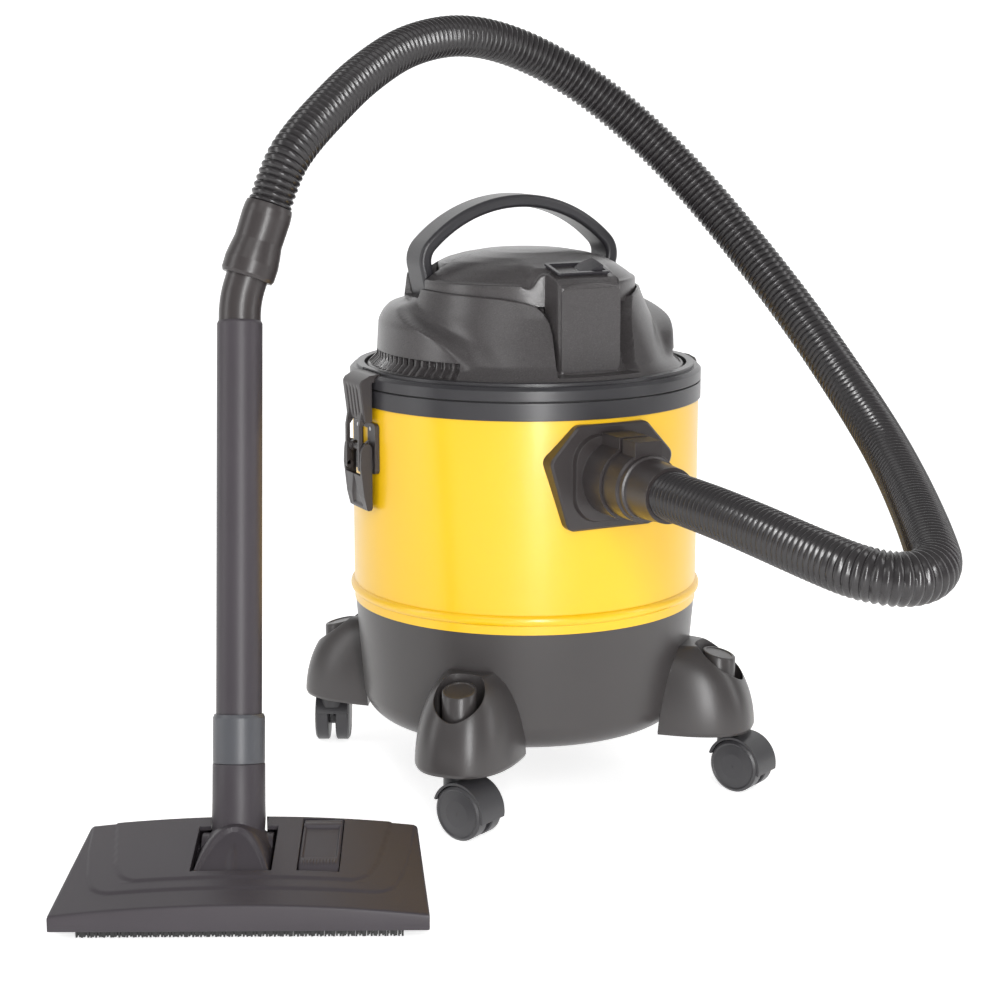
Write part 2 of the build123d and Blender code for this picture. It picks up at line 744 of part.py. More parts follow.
for side_name, sign in SIDES.items():
    radial = Plane(origin=(0, 0, 0), x_dir=(sign, 0, 0), z_dir=(0, -sign, 0))
    face_on = Plane(origin=(sign * 160, 0, 0), x_dir=(0, sign, 0), z_dir=(sign, 0, 0))
    with BuildPart() as bracket:
        with BuildSketch(face_on):
            with Locations((0, 332.5)):
                RectangleRounded(50, 47, 4)
        extrude(amount=7.6)
        with BuildSketch(radial):
            with BuildLine():
                Polyline((166, 324), (172, 328), (172, 336), (166, 340), close=True)
            make_face()
            with Locations(LATCH_PIVOT):
                Circle(5)
        extrude(amount=12, both=True)
        with BuildSketch(radial):
            with Locations((174, 332)):
                Rectangle(24, 37)
            with Locations(LATCH_PIVOT):
                Circle(3, mode=Mode.SUBTRACT)
        extrude(amount=8, both=True, mode=Mode.SUBTRACT)
        for ear in (1, -1):
            with BuildSketch(radial.offset(ear * 8)):
                with Locations(LATCH_PIVOT):
                    Circle(2.5 + FIT)
            extrude(amount=ear * 8, mode=Mode.SUBTRACT)
        with BuildSketch(Plane.XY.offset(250)):
            Circle(DRUM_SKIN)
        extrude(amount=130, mode=Mode.SUBTRACT)
        with BuildSketch(face_on):
            for row in RIVET_ROWS:
                with Locations((-RIVET_Y, row), (RIVET_Y, row)):
                    Circle(2.05)
        extrude(amount=12, mode=Mode.SUBTRACT)
    save(bracket, f"latch_{side_name}_bracket")

    with BuildPart() as lever:
        for cheek in (1, -1):
            with BuildSketch(radial.offset(cheek * 17)):
                with BuildLine():
                    Polyline(
                        (168.4, 333),
                        (168.8, 300),
                        (168.6, 275),
                        (173.5, 274.5),
                        (177, 288),
                        (180, 316),
                        (178.5, 336),
                        close=True,
                    )
                make_face()
                with Locations(LATCH_PIVOT):
                    Circle(5.3)
                with Locations(LINK_PIVOT):
                    Circle(2.5 + FIT, mode=Mode.SUBTRACT)
            extrude(amount=cheek * (LATCH_HALF - 17))
            with BuildSketch(radial.offset(cheek * 8.5)):
                with Locations(LATCH_PIVOT):
                    Circle(2.5)
            extrude(amount=cheek * 9)
        with BuildSketch(radial):
            with BuildLine():
                Polyline(
                    (168.8, 275),
                    (173.5, 274.5),
                    (177, 288),
                    (179, 307.5),
                    (175, 307.5),
                    (173, 289),
                    (170.5, 279.5),
                    close=True,
                )
            make_face()
        extrude(amount=17.2, both=True)
    save(lever, f"latch_{side_name}_lever")

    with BuildPart() as hook:
        with BuildSketch(radial):
            with BuildLine():
                Polyline(
                    (168.2, 357),
                    (176, 357),
                    (178, 370),
                    (180, 392),
                    (178, 396),
                    (170, 400),
                    (159, 401),
                    (159, 393.7),
                    (168.2, 393.7),
                    close=True,
                )
            make_face()
        extrude(amount=LATCH_HALF, both=True)
        for arm in (1, -1):
            with BuildSketch(radial.offset(arm * 12.5)):
                with BuildLine():
                    Polyline(
                        (176.4, 314),
                        (180, 314),
                        (179.6, 352),
                        (177, 366),
                        (172, 366),
                        (172, 358),
                        (176.4, 352),
                        close=True,
                    )
                make_face()
                with Locations(LINK_PIVOT):
                    Circle(3.6)
            extrude(amount=arm * 3.8)
            with BuildSketch(radial.offset(arm * 15.5)):
                with Locations(LINK_PIVOT):
                    Circle(2.5)
            extrude(amount=arm * 4.8)
    save(hook, f"latch_{side_name}_hook")

with BuildPart() as latch_rivets:
    for sign in SIDES.values():
        face_on = Plane(origin=(sign * 160, 0, 0), x_dir=(0, sign, 0), z_dir=(sign, 0, 0))
        with BuildSketch(face_on.offset(1)):
            for row in RIVET_ROWS:
                with Locations((-RIVET_Y, row), (RIVET_Y, row)):
                    Circle(3)
        extrude(amount=1.6)
        with BuildSketch(face_on.offset(1)):
            for row in RIVET_ROWS:
                with Locations((-RIVET_Y, row), (RIVET_Y, row)):
                    Circle(2)
        extrude(amount=6.9)
save(latch_rivets, "latch_rivets")

# ---------------------------------------------------------------- head, below the deck

with BuildPart() as head_seal:
    revolve(
        face_of(
            Plane.XZ,
            (161.5, RIM_TOP + FIT),
            (165, RIM_TOP + FIT),
            (165, FLANGE_BOTTOM),
            (161.5, FLANGE_BOTTOM),
        )
    )
save(head_seal, "head_seal")

SCREW_RING = 118.0
BOSS_TURNS = (25.0, 155.0, 205.0, 335.0)
boss_places = [(SCREW_RING * cos(radians(turn)), SCREW_RING * sin(radians(turn))) for turn in BOSS_TURNS]

with BuildPart() as head_base:
    revolve(
        face_of(
            Plane.XZ,
            (FLANGE_R, FLANGE_BOTTOM),
            (FLANGE_R, 396.5),
            (164, 399.5),
            (160.5, 399.5),
            (160.5, 402.5),
            (153.2, 402.5),
            (153.2, DECK_TOP),
            (58, DECK_TOP),
            (58, 391.5),
            (157, 391.5),
            (157, 378),
            (160.4, 378),
            (160.4, FLANGE_BOTTOM),
        )
    )
    for sign in SIDES.values():
        with BuildSketch(Plane.XY.offset(393.4)):
            with Locations((sign * 168, 0)):
                Rectangle(20, 2 * LATCH_HALF + 2)
        extrude(amount=12, mode=Mode.SUBTRACT)
    with BuildSketch(Plane.XY.offset(385)):
        with Locations(*boss_places):
            Circle(1.7)
    extrude(amount=20, mode=Mode.SUBTRACT)
save(head_base, "head_base")

with BuildPart() as motor_housing:
    revolve(
        face_of(
            Plane.XZ,
            (22, 380),
            (57.5, 380),
            (57.5, DECK_TOP),
            (66, DECK_TOP),
            (66, 399),
            (57.5, 399),
            (57.5, 456),
            (4.05, 456),
            (4.05, 453),
            (54.5, 453),
            (54.5, 404),
            (4.05, 404),
            (4.05, 401),
            (54.5, 401),
            (54.5, 383),
            (22, 383),
        )
    )
    with BuildSketch(Plane.XY.offset(400)):
        with PolarLocations(42, 8):
            Circle(7)
    extrude(amount=60, mode=Mode.SUBTRACT)
save(motor_housing, "motor_housing")

with BuildPart() as motor_rotor:
    revolve(
        face_of(
            Plane.XZ,
            (0, 386),
            (50, 386),
            (50, 399),
            (4, 399),
            (4, 410),
            (30, 410),
            (30, 446),
            (4, 446),
            (4, 460),
            (0, 460),
        )
    )
    with BuildSketch(Plane.XY.offset(388.5)):
        with PolarLocations(33, 9):
            with Locations(Location((0, 0, 0), (0, 0, 35))):
                Rectangle(30, 13)
    extrude(amount=8, mode=Mode.SUBTRACT)
save(motor_rotor, "motor_rotor")

with BuildPart() as float_cage:
    revolve(
        face_of(
            Plane.XZ, (0, 300), (34, 300), (34, 376), (50, 376), (50, 379.5), (31, 379.5), (31, 303), (0, 303)
        )
    )
    for turn in range(3):
        with BuildSketch(Plane.XZ.rotated((0, 0, 60 * turn))):
            with Locations((0, 338)):
                SlotOverall(58, 16, rotation=90)
        extrude(amount=50, both=True, mode=Mode.SUBTRACT)
save(float_cage, "float_cage")

with BuildPart() as float_ball:
    with Locations((0, 0, 329.1)):
        Sphere(26)
save(float_ball, "float_ball")

with BuildPart() as filter_cartridge:
    with BuildSketch(Plane.XY.offset(282)):
        Circle(60)
        Circle(44, mode=Mode.SUBTRACT)
        with PolarLocations(60, 36):
            Rectangle(8, 4, mode=Mode.SUBTRACT)
    extrude(amount=94)
    with BuildSketch(Plane.XY.offset(278)):
        Circle(60)
    extrude(amount=4)
save(filter_cartridge, "filter_cartridge")

# ---------------------------------------------------------------- head, above the deck

DOME = [(152, 396.3), (151, 400), (138.5, 412), (130.5, 426), (122.5, 440), (115, 454), (110, 466), (106, LID_Z)]
CAP = [(104, LID_Z + 0.1), (101, 482), (93, 488), (81, 497), (60, 504), (0, CROWN_Z)]
BALL_R = 417.0
BALL_Z = CROWN_Z + 0.5 - BALL_R
VENT_TURNS = (58, 66, 74, 82, 90, 98, 106, 114)
GLAND_Z = 418.0
SWITCH_LEAN = 14.0
switch_dir = Vector(0, -sin(radians(SWITCH_LEAN)), cos(radians(SWITCH_LEAN)))
SWITCH = Plane(origin=Vector(0, 0, BALL_Z) + switch_dir * BALL_R, x_dir=(1, 0, 0), z_dir=switch_dir)
SWITCH_SIDE = Plane(origin=SWITCH.origin - switch_dir * 4, x_dir=(1, 0, 0), z_dir=Vector(1, 0, 0).cross(switch_dir))


def dome_face(wall, top):
    """Half section of the dome, drawn in by a wall and closed at a height."""
    with BuildSketch(Plane.XZ) as sketch:
        with BuildLine():
            skin_line = Spline(*[(radius - wall, height) for radius, height in DOME])
            Polyline(skin_line @ 1, (0, LID_Z), (0, 396.3), skin_line @ 0)
        make_face()
        with Locations((100, top + 20)):
            Rectangle(300, 40, mode=Mode.SUBTRACT)
    return sketch.sketch


def cap_face(wall):
    """Half section of the cap, drawn in by a wall."""
    with BuildSketch(Plane.XZ) as sketch:
        with BuildLine():
            skin_line = Polyline(*[(max(radius - wall, 0), height - wall) for radius, height in CAP])
            Polyline(skin_line @ 1, (0, 470), (CAP[0][0] - wall, 470), skin_line @ 0)
        make_face()
    return sketch.sketch


with BuildPart() as dome_void:
    revolve(dome_face(SKIN, LID_Z - SKIN), axis=Axis.Z)
    with BuildSketch(Plane.XY.offset(400 + SKIN)):
        with Locations((0, -93.7)):
            Rectangle(2 * (COWL_HALF - SKIN), 57.4)
    extrude(amount=LID_Z - SKIN - 400 - SKIN)
    with BuildSketch(Plane.XY.offset(462)):
        with Locations((100, HANDLE_Y), (-100, HANDLE_Y)):
            Rectangle(40, 50)
    extrude(amount=20, mode=Mode.SUBTRACT)
    with BuildSketch(Plane.XY.offset(396)):
        with Locations(*boss_places):
            Circle(5)
    extrude(amount=41, mode=Mode.SUBTRACT)

with BuildPart() as head_cover:
    revolve(dome_face(0, LID_Z), axis=Axis.Z)
    with BuildSketch(Plane.XY.offset(400)):
        with Locations((0, -89)):
            Rectangle(2 * COWL_HALF, 98)
    extrude(amount=LID_Z - 400)
    for start in (50.0, -135.0):
        toward = Vector(sin(radians(start)), -cos(radians(start)), 0)
        revolve(
            face_of(
                Plane(origin=(0, 0, 0), x_dir=toward, z_dir=toward.cross(Vector(0, 0, 1))),
                (100, 396.3),
                (143, 396.3),
                (141, 410),
                (139.5, 443),
                (129, 459),
                (112, 461),
                (100, 461),
            ),
            axis=Axis.Z,
            revolution_arc=85,
        )
    add(dome_void.part, mode=Mode.SUBTRACT)
    for start in (51.5, -133.5):
        toward = Vector(sin(radians(start)), -cos(radians(start)), 0)
        revolve(
            face_of(
                Plane(origin=(0, 0, 0), x_dir=toward, z_dir=toward.cross(Vector(0, 0, 1))),
                (105, 390),
                (140, 390),
                (138, 410),
                (136.5, 442),
                (127.5, 456),
                (105, 458),
            ),
            axis=Axis.Z,
            revolution_arc=82,
            mode=Mode.SUBTRACT,
        )
    with BuildSketch(Plane.XY.offset(405)):
        with Locations((0, -132.7)):
            Rectangle(62, 14.6)
    extrude(amount=90, mode=Mode.SUBTRACT)
    with BuildSketch(Plane.XY.offset(466)):
        with Locations((100, HANDLE_Y), (-100, HANDLE_Y)):
            Rectangle(32, 44)
    extrude(amount=20, mode=Mode.SUBTRACT)
    for turn in VENT_TURNS:
        for hand in (1, -1):
            aim = Vector(hand * sin(radians(turn)), -cos(radians(turn)), 0)
            with BuildSketch(Plane(origin=(0, 0, 0), x_dir=aim.cross(Vector(0, 0, 1)), z_dir=aim).offset(128)):
                with Locations((0, 409)):
                    SlotOverall(14, 5, rotation=90)
            extrude(amount=30, mode=Mode.SUBTRACT)
    with BuildSketch(Plane.XZ.offset(-110)):
        with Locations((0, GLAND_Z)):
            Circle(8.1)
    extrude(amount=-60, mode=Mode.SUBTRACT)
    with BuildSketch(Plane.XY.offset(395)):
        with Locations(*boss_places):
            Circle(1.55)
    extrude(amount=20, mode=Mode.SUBTRACT)
save(head_cover, "head_cover")

with BuildPart() as nose_solid:
    with BuildSketch(Plane.XY.offset(LID_Z + 0.1)):
        with Locations((0, -89)):
            Rectangle(2 * COWL_HALF, 98)
    extrude(amount=40)
    with Locations((0, 0, BALL_Z)):
        Sphere(BALL_R, mode=Mode.INTERSECT)

with BuildPart() as cap_void:
    revolve(cap_face(SKIN), axis=Axis.Z)
    with BuildSketch(Plane.XY.offset(LID_Z - 5)):
        with Locations((0, -82.7)):
            Rectangle(2 * (COWL_HALF - SKIN), 79.4)
    extrude(amount=40)
    with Locations((0, 0, BALL_Z)):
        Sphere(BALL_R - SKIN, mode=Mode.INTERSECT)
    with BuildSketch(Plane.XY.offset(460)):
        with Locations((100, HANDLE_Y), (-100, HANDLE_Y)):
            Rectangle(40, 50)
    extrude(amount=60, mode=Mode.SUBTRACT)

with BuildPart() as head_cap:
    revolve(cap_face(0), axis=Axis.Z)
    with BuildSketch(Plane.XY.offset(LID_Z - 20)):
        Circle(150)
    extrude(amount=20.1, mode=Mode.SUBTRACT)
    add(nose_solid.part)
    add(cap_void.part, mode=Mode.SUBTRACT)
    with BuildSketch(Plane.XY.offset(LID_Z)):
        with Locations((0, -132.7)):
            Rectangle(62, 14.6)
    extrude(amount=5, mode=Mode.SUBTRACT)
    with BuildSketch(Plane.XY.offset(466)):
        with Locations((100, HANDLE_Y), (-100, HANDLE_Y)):
            Rectangle(32, 44)
    extrude(amount=60, mode=Mode.SUBTRACT)
    with BuildSketch(SWITCH.offset(-20)):
        Rectangle(50.4, 26.4)
    extrude(amount=30, mode=Mode.SUBTRACT)
save(head_cap, "head_cap")

with BuildPart() as front_panel:
    with BuildSketch(Plane.XY.offset(407)):
        with Locations((0, PANEL_FRONT + 1.25)):
            Rectangle(2 * PANEL_HALF, 2.5)
    extrude(amount=75)
    fillet(front_panel.edges().filter_by(Axis.Y), radius=5)
save(front_panel, "front_panel")

with BuildPart() as handle:
    with BuildSketch(Plane.XZ.offset(-HANDLE_Y + HANDLE_WIDTH / 2)):
        with BuildLine():
            ThreePointArc((-97, 518), (0, HANDLE_TOP), (97, 518))
            ThreePointArc((97, 518), (104.3, 506), (HANDLE_REACH, 494))
            Line((HANDLE_REACH, 494), (99, 466))
            Line((99, 466), (-99, 466))
            Line((-99, 466), (-HANDLE_REACH, 494))
            ThreePointArc((-HANDLE_REACH, 494), (-104.3, 506), (-97, 518))
        make_face()
        offset(amount=-HANDLE_T, mode=Mode.SUBTRACT)
        with Locations((0, 470)):
            Rectangle(174, 20, mode=Mode.SUBTRACT)
    extrude(amount=-HANDLE_WIDTH)
    fillet(handle.faces().sort_by(Axis.Y)[0].edges() + handle.faces().sort_by(Axis.Y)[-1].edges(), radius=4)
save(handle, "handle")

# ---------------------------------------------------------------- switch, screws and cable gland

with BuildPart() as switch_frame:
    with BuildSketch(SWITCH.offset(-13.5)):
        Rectangle(50, 26)
    extrude(amount=13.5)
    with BuildSketch(SWITCH):
        RectangleRounded(54, 30, 3)
    extrude(amount=1.7)
    with BuildSketch(SWITCH.offset(-12)):
        Rectangle(46.8, 22.6)
    extrude(amount=20, mode=Mode.SUBTRACT)
    with BuildSketch(SWITCH_SIDE):
        Circle(1.5 + FIT)
    extrude(amount=12.6, both=True, mode=Mode.SUBTRACT)
save(switch_frame, "switch_frame")

with BuildPart() as switch_rocker:
    with BuildSketch(SWITCH_SIDE):
        Polygon((-22, 6), (0, 2.5), (22, 6), (20, -3), (-20, -3), rotation=12, align=None)
    extrude(amount=11, both=True)
    with BuildSketch(SWITCH_SIDE):
        Circle(1.5)
    extrude(amount=12.4, both=True)
save(switch_rocker, "switch_rocker")

with BuildPart() as head_screws:
    with BuildSketch(Plane.XY.offset(389.2)):
        with Locations(*boss_places):
            Circle(3.5)
    extrude(amount=2.3)
    with BuildSketch(Plane.XY.offset(391.5)):
        with Locations(*boss_places):
            Circle(1.5)
    extrude(amount=20)
save(head_screws, "head_screws")

with BuildPart() as cable_gland:
    with BuildSketch(Plane.XZ.offset(-120)):
        with Locations((0, GLAND_Z)):
            Circle(8)
            Circle(4, mode=Mode.SUBTRACT)
    extrude(amount=-30)
    with BuildSketch(Plane.XZ.offset(-144.5)):
        with Locations((0, GLAND_Z)):
            Circle(10.5)
            Circle(4, mode=Mode.SUBTRACT)
    extrude(amount=-2.5)
save(cable_gland, "cable_gland")
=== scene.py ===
"""The shop vacuum's looks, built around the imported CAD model.

Shapes are worked out in millimetres about the drum's axis, and mm() puts them in the row frame.
"""

import json
import math

import bmesh
import bpy
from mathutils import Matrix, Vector


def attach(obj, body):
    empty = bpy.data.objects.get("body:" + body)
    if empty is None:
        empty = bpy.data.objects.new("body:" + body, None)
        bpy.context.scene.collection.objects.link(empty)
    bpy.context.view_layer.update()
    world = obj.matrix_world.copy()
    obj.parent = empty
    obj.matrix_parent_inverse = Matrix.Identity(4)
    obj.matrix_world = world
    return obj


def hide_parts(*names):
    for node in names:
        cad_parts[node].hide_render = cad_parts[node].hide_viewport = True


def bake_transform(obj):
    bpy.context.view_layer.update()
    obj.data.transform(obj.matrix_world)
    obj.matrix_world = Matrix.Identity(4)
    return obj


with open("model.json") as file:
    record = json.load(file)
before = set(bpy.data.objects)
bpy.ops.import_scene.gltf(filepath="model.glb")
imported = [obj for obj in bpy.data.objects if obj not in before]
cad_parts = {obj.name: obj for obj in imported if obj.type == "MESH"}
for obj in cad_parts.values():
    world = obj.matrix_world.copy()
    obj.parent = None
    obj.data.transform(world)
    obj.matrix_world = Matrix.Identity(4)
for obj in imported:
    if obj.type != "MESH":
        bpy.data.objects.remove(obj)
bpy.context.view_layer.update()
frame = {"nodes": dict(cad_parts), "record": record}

AXIS = Vector((0.1748, 0.0804, 0.0))   # the drum's axis, in the row frame
NODES = frame["nodes"]


def mm(x, y, z):
    """A point given in millimetres about the drum's axis, in the row frame."""
    return Vector((x, y, z)) / 1000 + AXIS


# ---------------------------------------------------------------- camera

VIEW_TURN = math.radians(-27.5)        # how far round from the drum's front the camera stands
CAMERA_BACK = 2.0
CAMERA_HEIGHT = 0.675
CAMERA_DIP, CAMERA_PAN = 11.57, 0.69   # degrees below level, and past the drum's axis
back = Vector((math.sin(VIEW_TURN), -math.cos(VIEW_TURN), 0))
camera = bpy.data.objects.new("camera", bpy.data.cameras.new("camera"))
bpy.context.scene.collection.objects.link(camera)
camera.location = AXIS + back * CAMERA_BACK + Vector((0, 0, CAMERA_HEIGHT))
camera.rotation_euler = (math.radians(90 - CAMERA_DIP), 0, VIEW_TURN + math.radians(CAMERA_PAN))
camera.data.sensor_width = 36
camera.data.lens = 76.03
camera.data.clip_end = 50
bpy.context.scene.camera = camera

# ---------------------------------------------------------------- helpers


def mesh_object(name, verts, faces, smooth=True):
    """A new mesh object from plain lists."""
    mesh = bpy.data.meshes.new(name)
    mesh.from_pydata([tuple(v) for v in verts], [], faces)
    mesh.validate()
    mesh.update()
    obj = bpy.data.objects.new(name, mesh)
    bpy.context.scene.collection.objects.link(obj)
    for polygon in mesh.polygons:
        polygon.use_smooth = smooth
    return obj


def close_seams(obj, angle=35):
    """Merge doubled points, make the faces point out and shade sharp edges as sharp."""
    bm = bmesh.new()
    bm.from_mesh(obj.data)
    bmesh.ops.remove_doubles(bm, verts=bm.verts, dist=1e-6)
    bmesh.ops.recalc_face_normals(bm, faces=bm.faces)
    for edge in bm.edges:
        if len(edge.link_faces) == 2 and edge.calc_face_angle(0) > math.radians(angle):
            edge.smooth = False
    bm.to_mesh(obj.data)
    bm.free()
    return obj


def smoothstep(value, low, high):
    """0 below low, 1 above high, and a soft rise between them."""
    t = min(1.0, max(0.0, (value - low) / (high - low)))
    return t * t * (3 - 2 * t)


def spans(*parts):
    """Values from runs of (start, end, step), in order and without repeats."""
    values = []
    for start, end, step in parts:
        count = max(1, round((end - start) / step))
        values += [start + (end - start) * i / count for i in range(count)]
    values.append(parts[-1][1])
    return values


def along(table, value):
    """Straight-line interpolation in a table of pairs."""
    if value <= table[0][0]:
        return table[0][1]
    for (x0, y0), (x1, y1) in zip(table, table[1:]):
        if value <= x1:
            return y0 + (y1 - y0) * (value - x0) / (x1 - x0)
    return table[-1][1]


def smooth_along(table, value, spread):
    """Interpolation in a table, averaged over a short span so that the corners are soft."""
    return sum(along(table, value + spread * k / 3) for k in (-3, -2, -1, 0, 1, 2, 3)) / 7


def disc(a, b, radius, count=24):
    """Points around a circle."""
    return [(a + radius * math.cos(2 * math.pi * k / count), b + radius * math.sin(2 * math.pi * k / count))
            for k in range(count)]


# A shape in the making is a pair (verts, faces).


def add_rings(shape, rings):
    """Add closed rings of one length to a shape, with a wall between each and the next."""
    verts, faces = shape
    first, count = len(verts), len(rings[0])
    for ring in rings:
        verts.extend(ring)
    for start in range(first, first + (len(rings) - 1) * count, count):
        for k in range(count):
            n = (k + 1) % count
            faces.append((start + k, start + n, start + count + n, start + count + k))


def add_ends(shape, first, last, count, flip=False):
    """Close two rings of a shape, which start at the given vertices."""
    for start, backwards in ((first, flip), (last, not flip)):
        ring = range(start, start + count)
        shape[1].append(tuple(reversed(ring)) if backwards else tuple(ring))


def grid_block(shape, place, us, vs, top, bottom):
    """Add a closed block to a shape: a raised surface over a grid, with walls down to a lower one."""
    verts, faces = shape
    rows = []
    for level in (top, bottom):
        rows.append(len(verts))
        verts.extend(place(u, v, level(u, v)) for v in vs for u in us)
    wide_by = len(us)
    for j in range(len(vs) - 1):
        for i in range(wide_by - 1):
            a = j * wide_by + i
            faces.append((rows[0] + a, rows[0] + a + 1, rows[0] + a + wide_by + 1, rows[0] + a + wide_by))
            faces.append((rows[1] + a, rows[1] + a + wide_by, rows[1] + a + wide_by + 1, rows[1] + a + 1))
    loop = [j * wide_by + i for i, j in grid_rim(wide_by, len(vs))]
    for k, a in enumerate(loop):
        b = loop[(k + 1) % len(loop)]
        faces.append((rows[0] + a, rows[1] + a, rows[1] + b, rows[0] + b))


def grid_rim(wide_by, deep_by):
    """The (i, j) places around the edge of a grid, in order."""
    return ([(i, 0) for i in range(wide_by)] + [(wide_by - 1, j) for j in range(1, deep_by)]
            + [(i, deep_by - 1) for i in range(wide_by - 2, -1, -1)] + [(0, j) for j in range(deep_by - 2, 0, -1)])


def prism(shape, place, outline, low, high):
    """Add an outline swept from one depth to another: place(a, depth, b) puts the outline's (a, b)."""
    start, count = len(shape[0]), len(outline)
    add_rings(shape, [[place(a, depth, b) for a, b in outline] for depth in (low, high)])
    add_ends(shape, start, start + count, count)


def finish_piece(obj, body, slot, material, *nodes):
    """Give a piece its material and body, and let it stand for CAD nodes."""
    obj.data.materials.clear()
    obj.data.materials.append(material)
    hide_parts(*nodes)
    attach(obj, body)


# ---------------------------------------------------------------- materials

MOTTLE_SCALE = 9
GRAIN_DEPTH = 0.0002
FLECK_SCALE = 1500
FLECK_COLOUR = (0.5, 0.48, 0.47, 1)


def noise(tree, coords, scale, detail):
    """A noise texture in the object's own coordinates."""
    node = tree.nodes.new("ShaderNodeTexNoise")
    node.inputs["Scale"].default_value = scale
    node.inputs["Detail"].default_value = detail
    tree.links.new(coords.outputs["Object"], node.inputs["Vector"])
    return node


def flecked(tree, coords, colour_out, strength):
    """Mix small pale flecks into a colour."""
    nodes, links = tree.nodes, tree.links
    grains = nodes.new("ShaderNodeTexVoronoi")
    grains.inputs["Scale"].default_value = FLECK_SCALE
    links.new(coords.outputs["Object"], grains.inputs["Vector"])
    cut = nodes.new("ShaderNodeMapRange")
    cut.inputs["From Min"].default_value = 0.25
    cut.inputs["From Max"].default_value = 0.05
    links.new(grains.outputs["Distance"], cut.inputs["Value"])
    amount = nodes.new("ShaderNodeMath")
    amount.operation = "MULTIPLY"
    amount.inputs[1].default_value = strength
    links.new(cut.outputs["Result"], amount.inputs[0])
    mix = nodes.new("ShaderNodeMix")
    mix.data_type = "RGBA"
    mix.inputs["B"].default_value = FLECK_COLOUR
    links.new(amount.outputs["Value"], mix.inputs["Factor"])
    links.new(colour_out, mix.inputs["A"])
    return mix.outputs["Result"]


def material(name, color, rough=0.4, grain=0.0, grain_scale=400.0, fleck=0.0, metallic=0.0, coat=0.0,
             coat_rough=0.1, specular=0.5, edge=0.0006, mottle=0.06):
    """Moulded or painted surface: slight mottling, fine grain in the bump, and softened edges."""
    mat = bpy.data.materials.new(name)
    mat.use_nodes = True
    tree = mat.node_tree
    nodes, links = tree.nodes, tree.links
    shader = nodes["Principled BSDF"]
    shader.inputs["Metallic"].default_value = metallic
    shader.inputs["Coat Weight"].default_value = coat
    shader.inputs["Coat Roughness"].default_value = coat_rough
    shader.inputs["Specular IOR Level"].default_value = specular
    coords = nodes.new("ShaderNodeTexCoord")
    cloud = noise(tree, coords, MOTTLE_SCALE, 4)
    fine = noise(tree, coords, grain_scale, 2)
    ramp = nodes.new("ShaderNodeValToRGB")
    dark, light = ramp.color_ramp.elements
    dark.position, light.position = 0.3, 0.7
    dark.color = [c * (1 - mottle) for c in color] + [1]
    light.color = [min(1, c * (1 + mottle)) for c in color] + [1]
    links.new(cloud.outputs["Fac"], ramp.inputs["Fac"])
    colour_out = ramp.outputs["Color"]
    if fleck:
        colour_out = flecked(tree, coords, colour_out, fleck)
    links.new(colour_out, shader.inputs["Base Color"])
    spread = nodes.new("ShaderNodeMapRange")
    spread.inputs["To Min"].default_value = max(0.02, rough - 0.05)
    spread.inputs["To Max"].default_value = min(1.0, rough + 0.07)
    links.new(fine.outputs["Fac"], spread.inputs["Value"])
    links.new(spread.outputs["Result"], shader.inputs["Roughness"])
    bump = nodes.new("ShaderNodeBump")
    bump.inputs["Strength"].default_value = grain
    bump.inputs["Distance"].default_value = GRAIN_DEPTH
    links.new(fine.outputs["Fac"], bump.inputs["Height"])
    if edge:
        bevel = nodes.new("ShaderNodeBevel")
        bevel.samples = 4
        bevel.inputs["Radius"].default_value = edge
        links.new(bevel.outputs["Normal"], bump.inputs["Normal"])
    links.new(bump.outputs["Normal"], shader.inputs["Normal"])
    return mat


PAINT = material("drum_paint", (0.78, 0.46, 0.003), rough=0.32, grain=0.1, grain_scale=900, coat=0.35,
                 coat_rough=0.2, edge=0, mottle=0.02)
CHAR = material("base_charcoal", (0.042, 0.038, 0.038), rough=0.31, grain=0.35, grain_scale=1400, edge=0.001)
HEAD = material("head_charcoal", (0.044, 0.040, 0.041), rough=0.28, grain=0.4, grain_scale=1600, fleck=0.5,
                edge=0.0008, specular=0.6)
HANDLE = material("handle_charcoal", (0.026, 0.025, 0.028), rough=0.3, grain=0.35, grain_scale=1300, edge=0.0012)
BLACK = material("gloss_black", (0.03, 0.025, 0.025), rough=0.32, grain=0.2, grain_scale=1200, edge=0.0009)
HOSE = material("hose_black", (0.02, 0.018, 0.019), rough=0.22, grain=0.1, grain_scale=900, edge=0)
WAND = material("wand_grey", (0.043, 0.037, 0.043), rough=0.42, specular=0.35, grain=0.35, grain_scale=1500,
                edge=0.0009)
SLEEVE = material("sleeve_grey", (0.06, 0.062, 0.07), rough=0.38, grain=0.35, grain_scale=1500, edge=0.0009)
WHEEL = material("wheel_charcoal", (0.032, 0.031, 0.034), rough=0.36, grain=0.3, grain_scale=1300, edge=0.0008)
STEEL = material("pin_steel", (0.55, 0.55, 0.57), rough=0.3, grain=0.15, grain_scale=800, metallic=1.0, edge=0.0003)
RUBBER = material("seal_rubber", (0.02, 0.02, 0.02), rough=0.7, grain=0.4, grain_scale=700, edge=0)
PAPER = material("filter_paper", (0.7, 0.68, 0.62), rough=0.85, grain=0.6, grain_scale=500, edge=0)
BALL = material("ball_plastic", (0.75, 0.74, 0.7), rough=0.5, grain=0.3, grain_scale=900, edge=0)
IRON = material("motor_iron", (0.3, 0.29, 0.28), rough=0.45, grain=0.4, grain_scale=700, metallic=0.8, edge=0)
NYLON = material("bristle_nylon", (0.02, 0.02, 0.02), rough=0.55, grain=0.5, grain_scale=1500, edge=0)
SWITCH = material("switch_black", (0.03, 0.028, 0.032), rough=0.22, grain=0.12, grain_scale=1200, edge=0.0008)

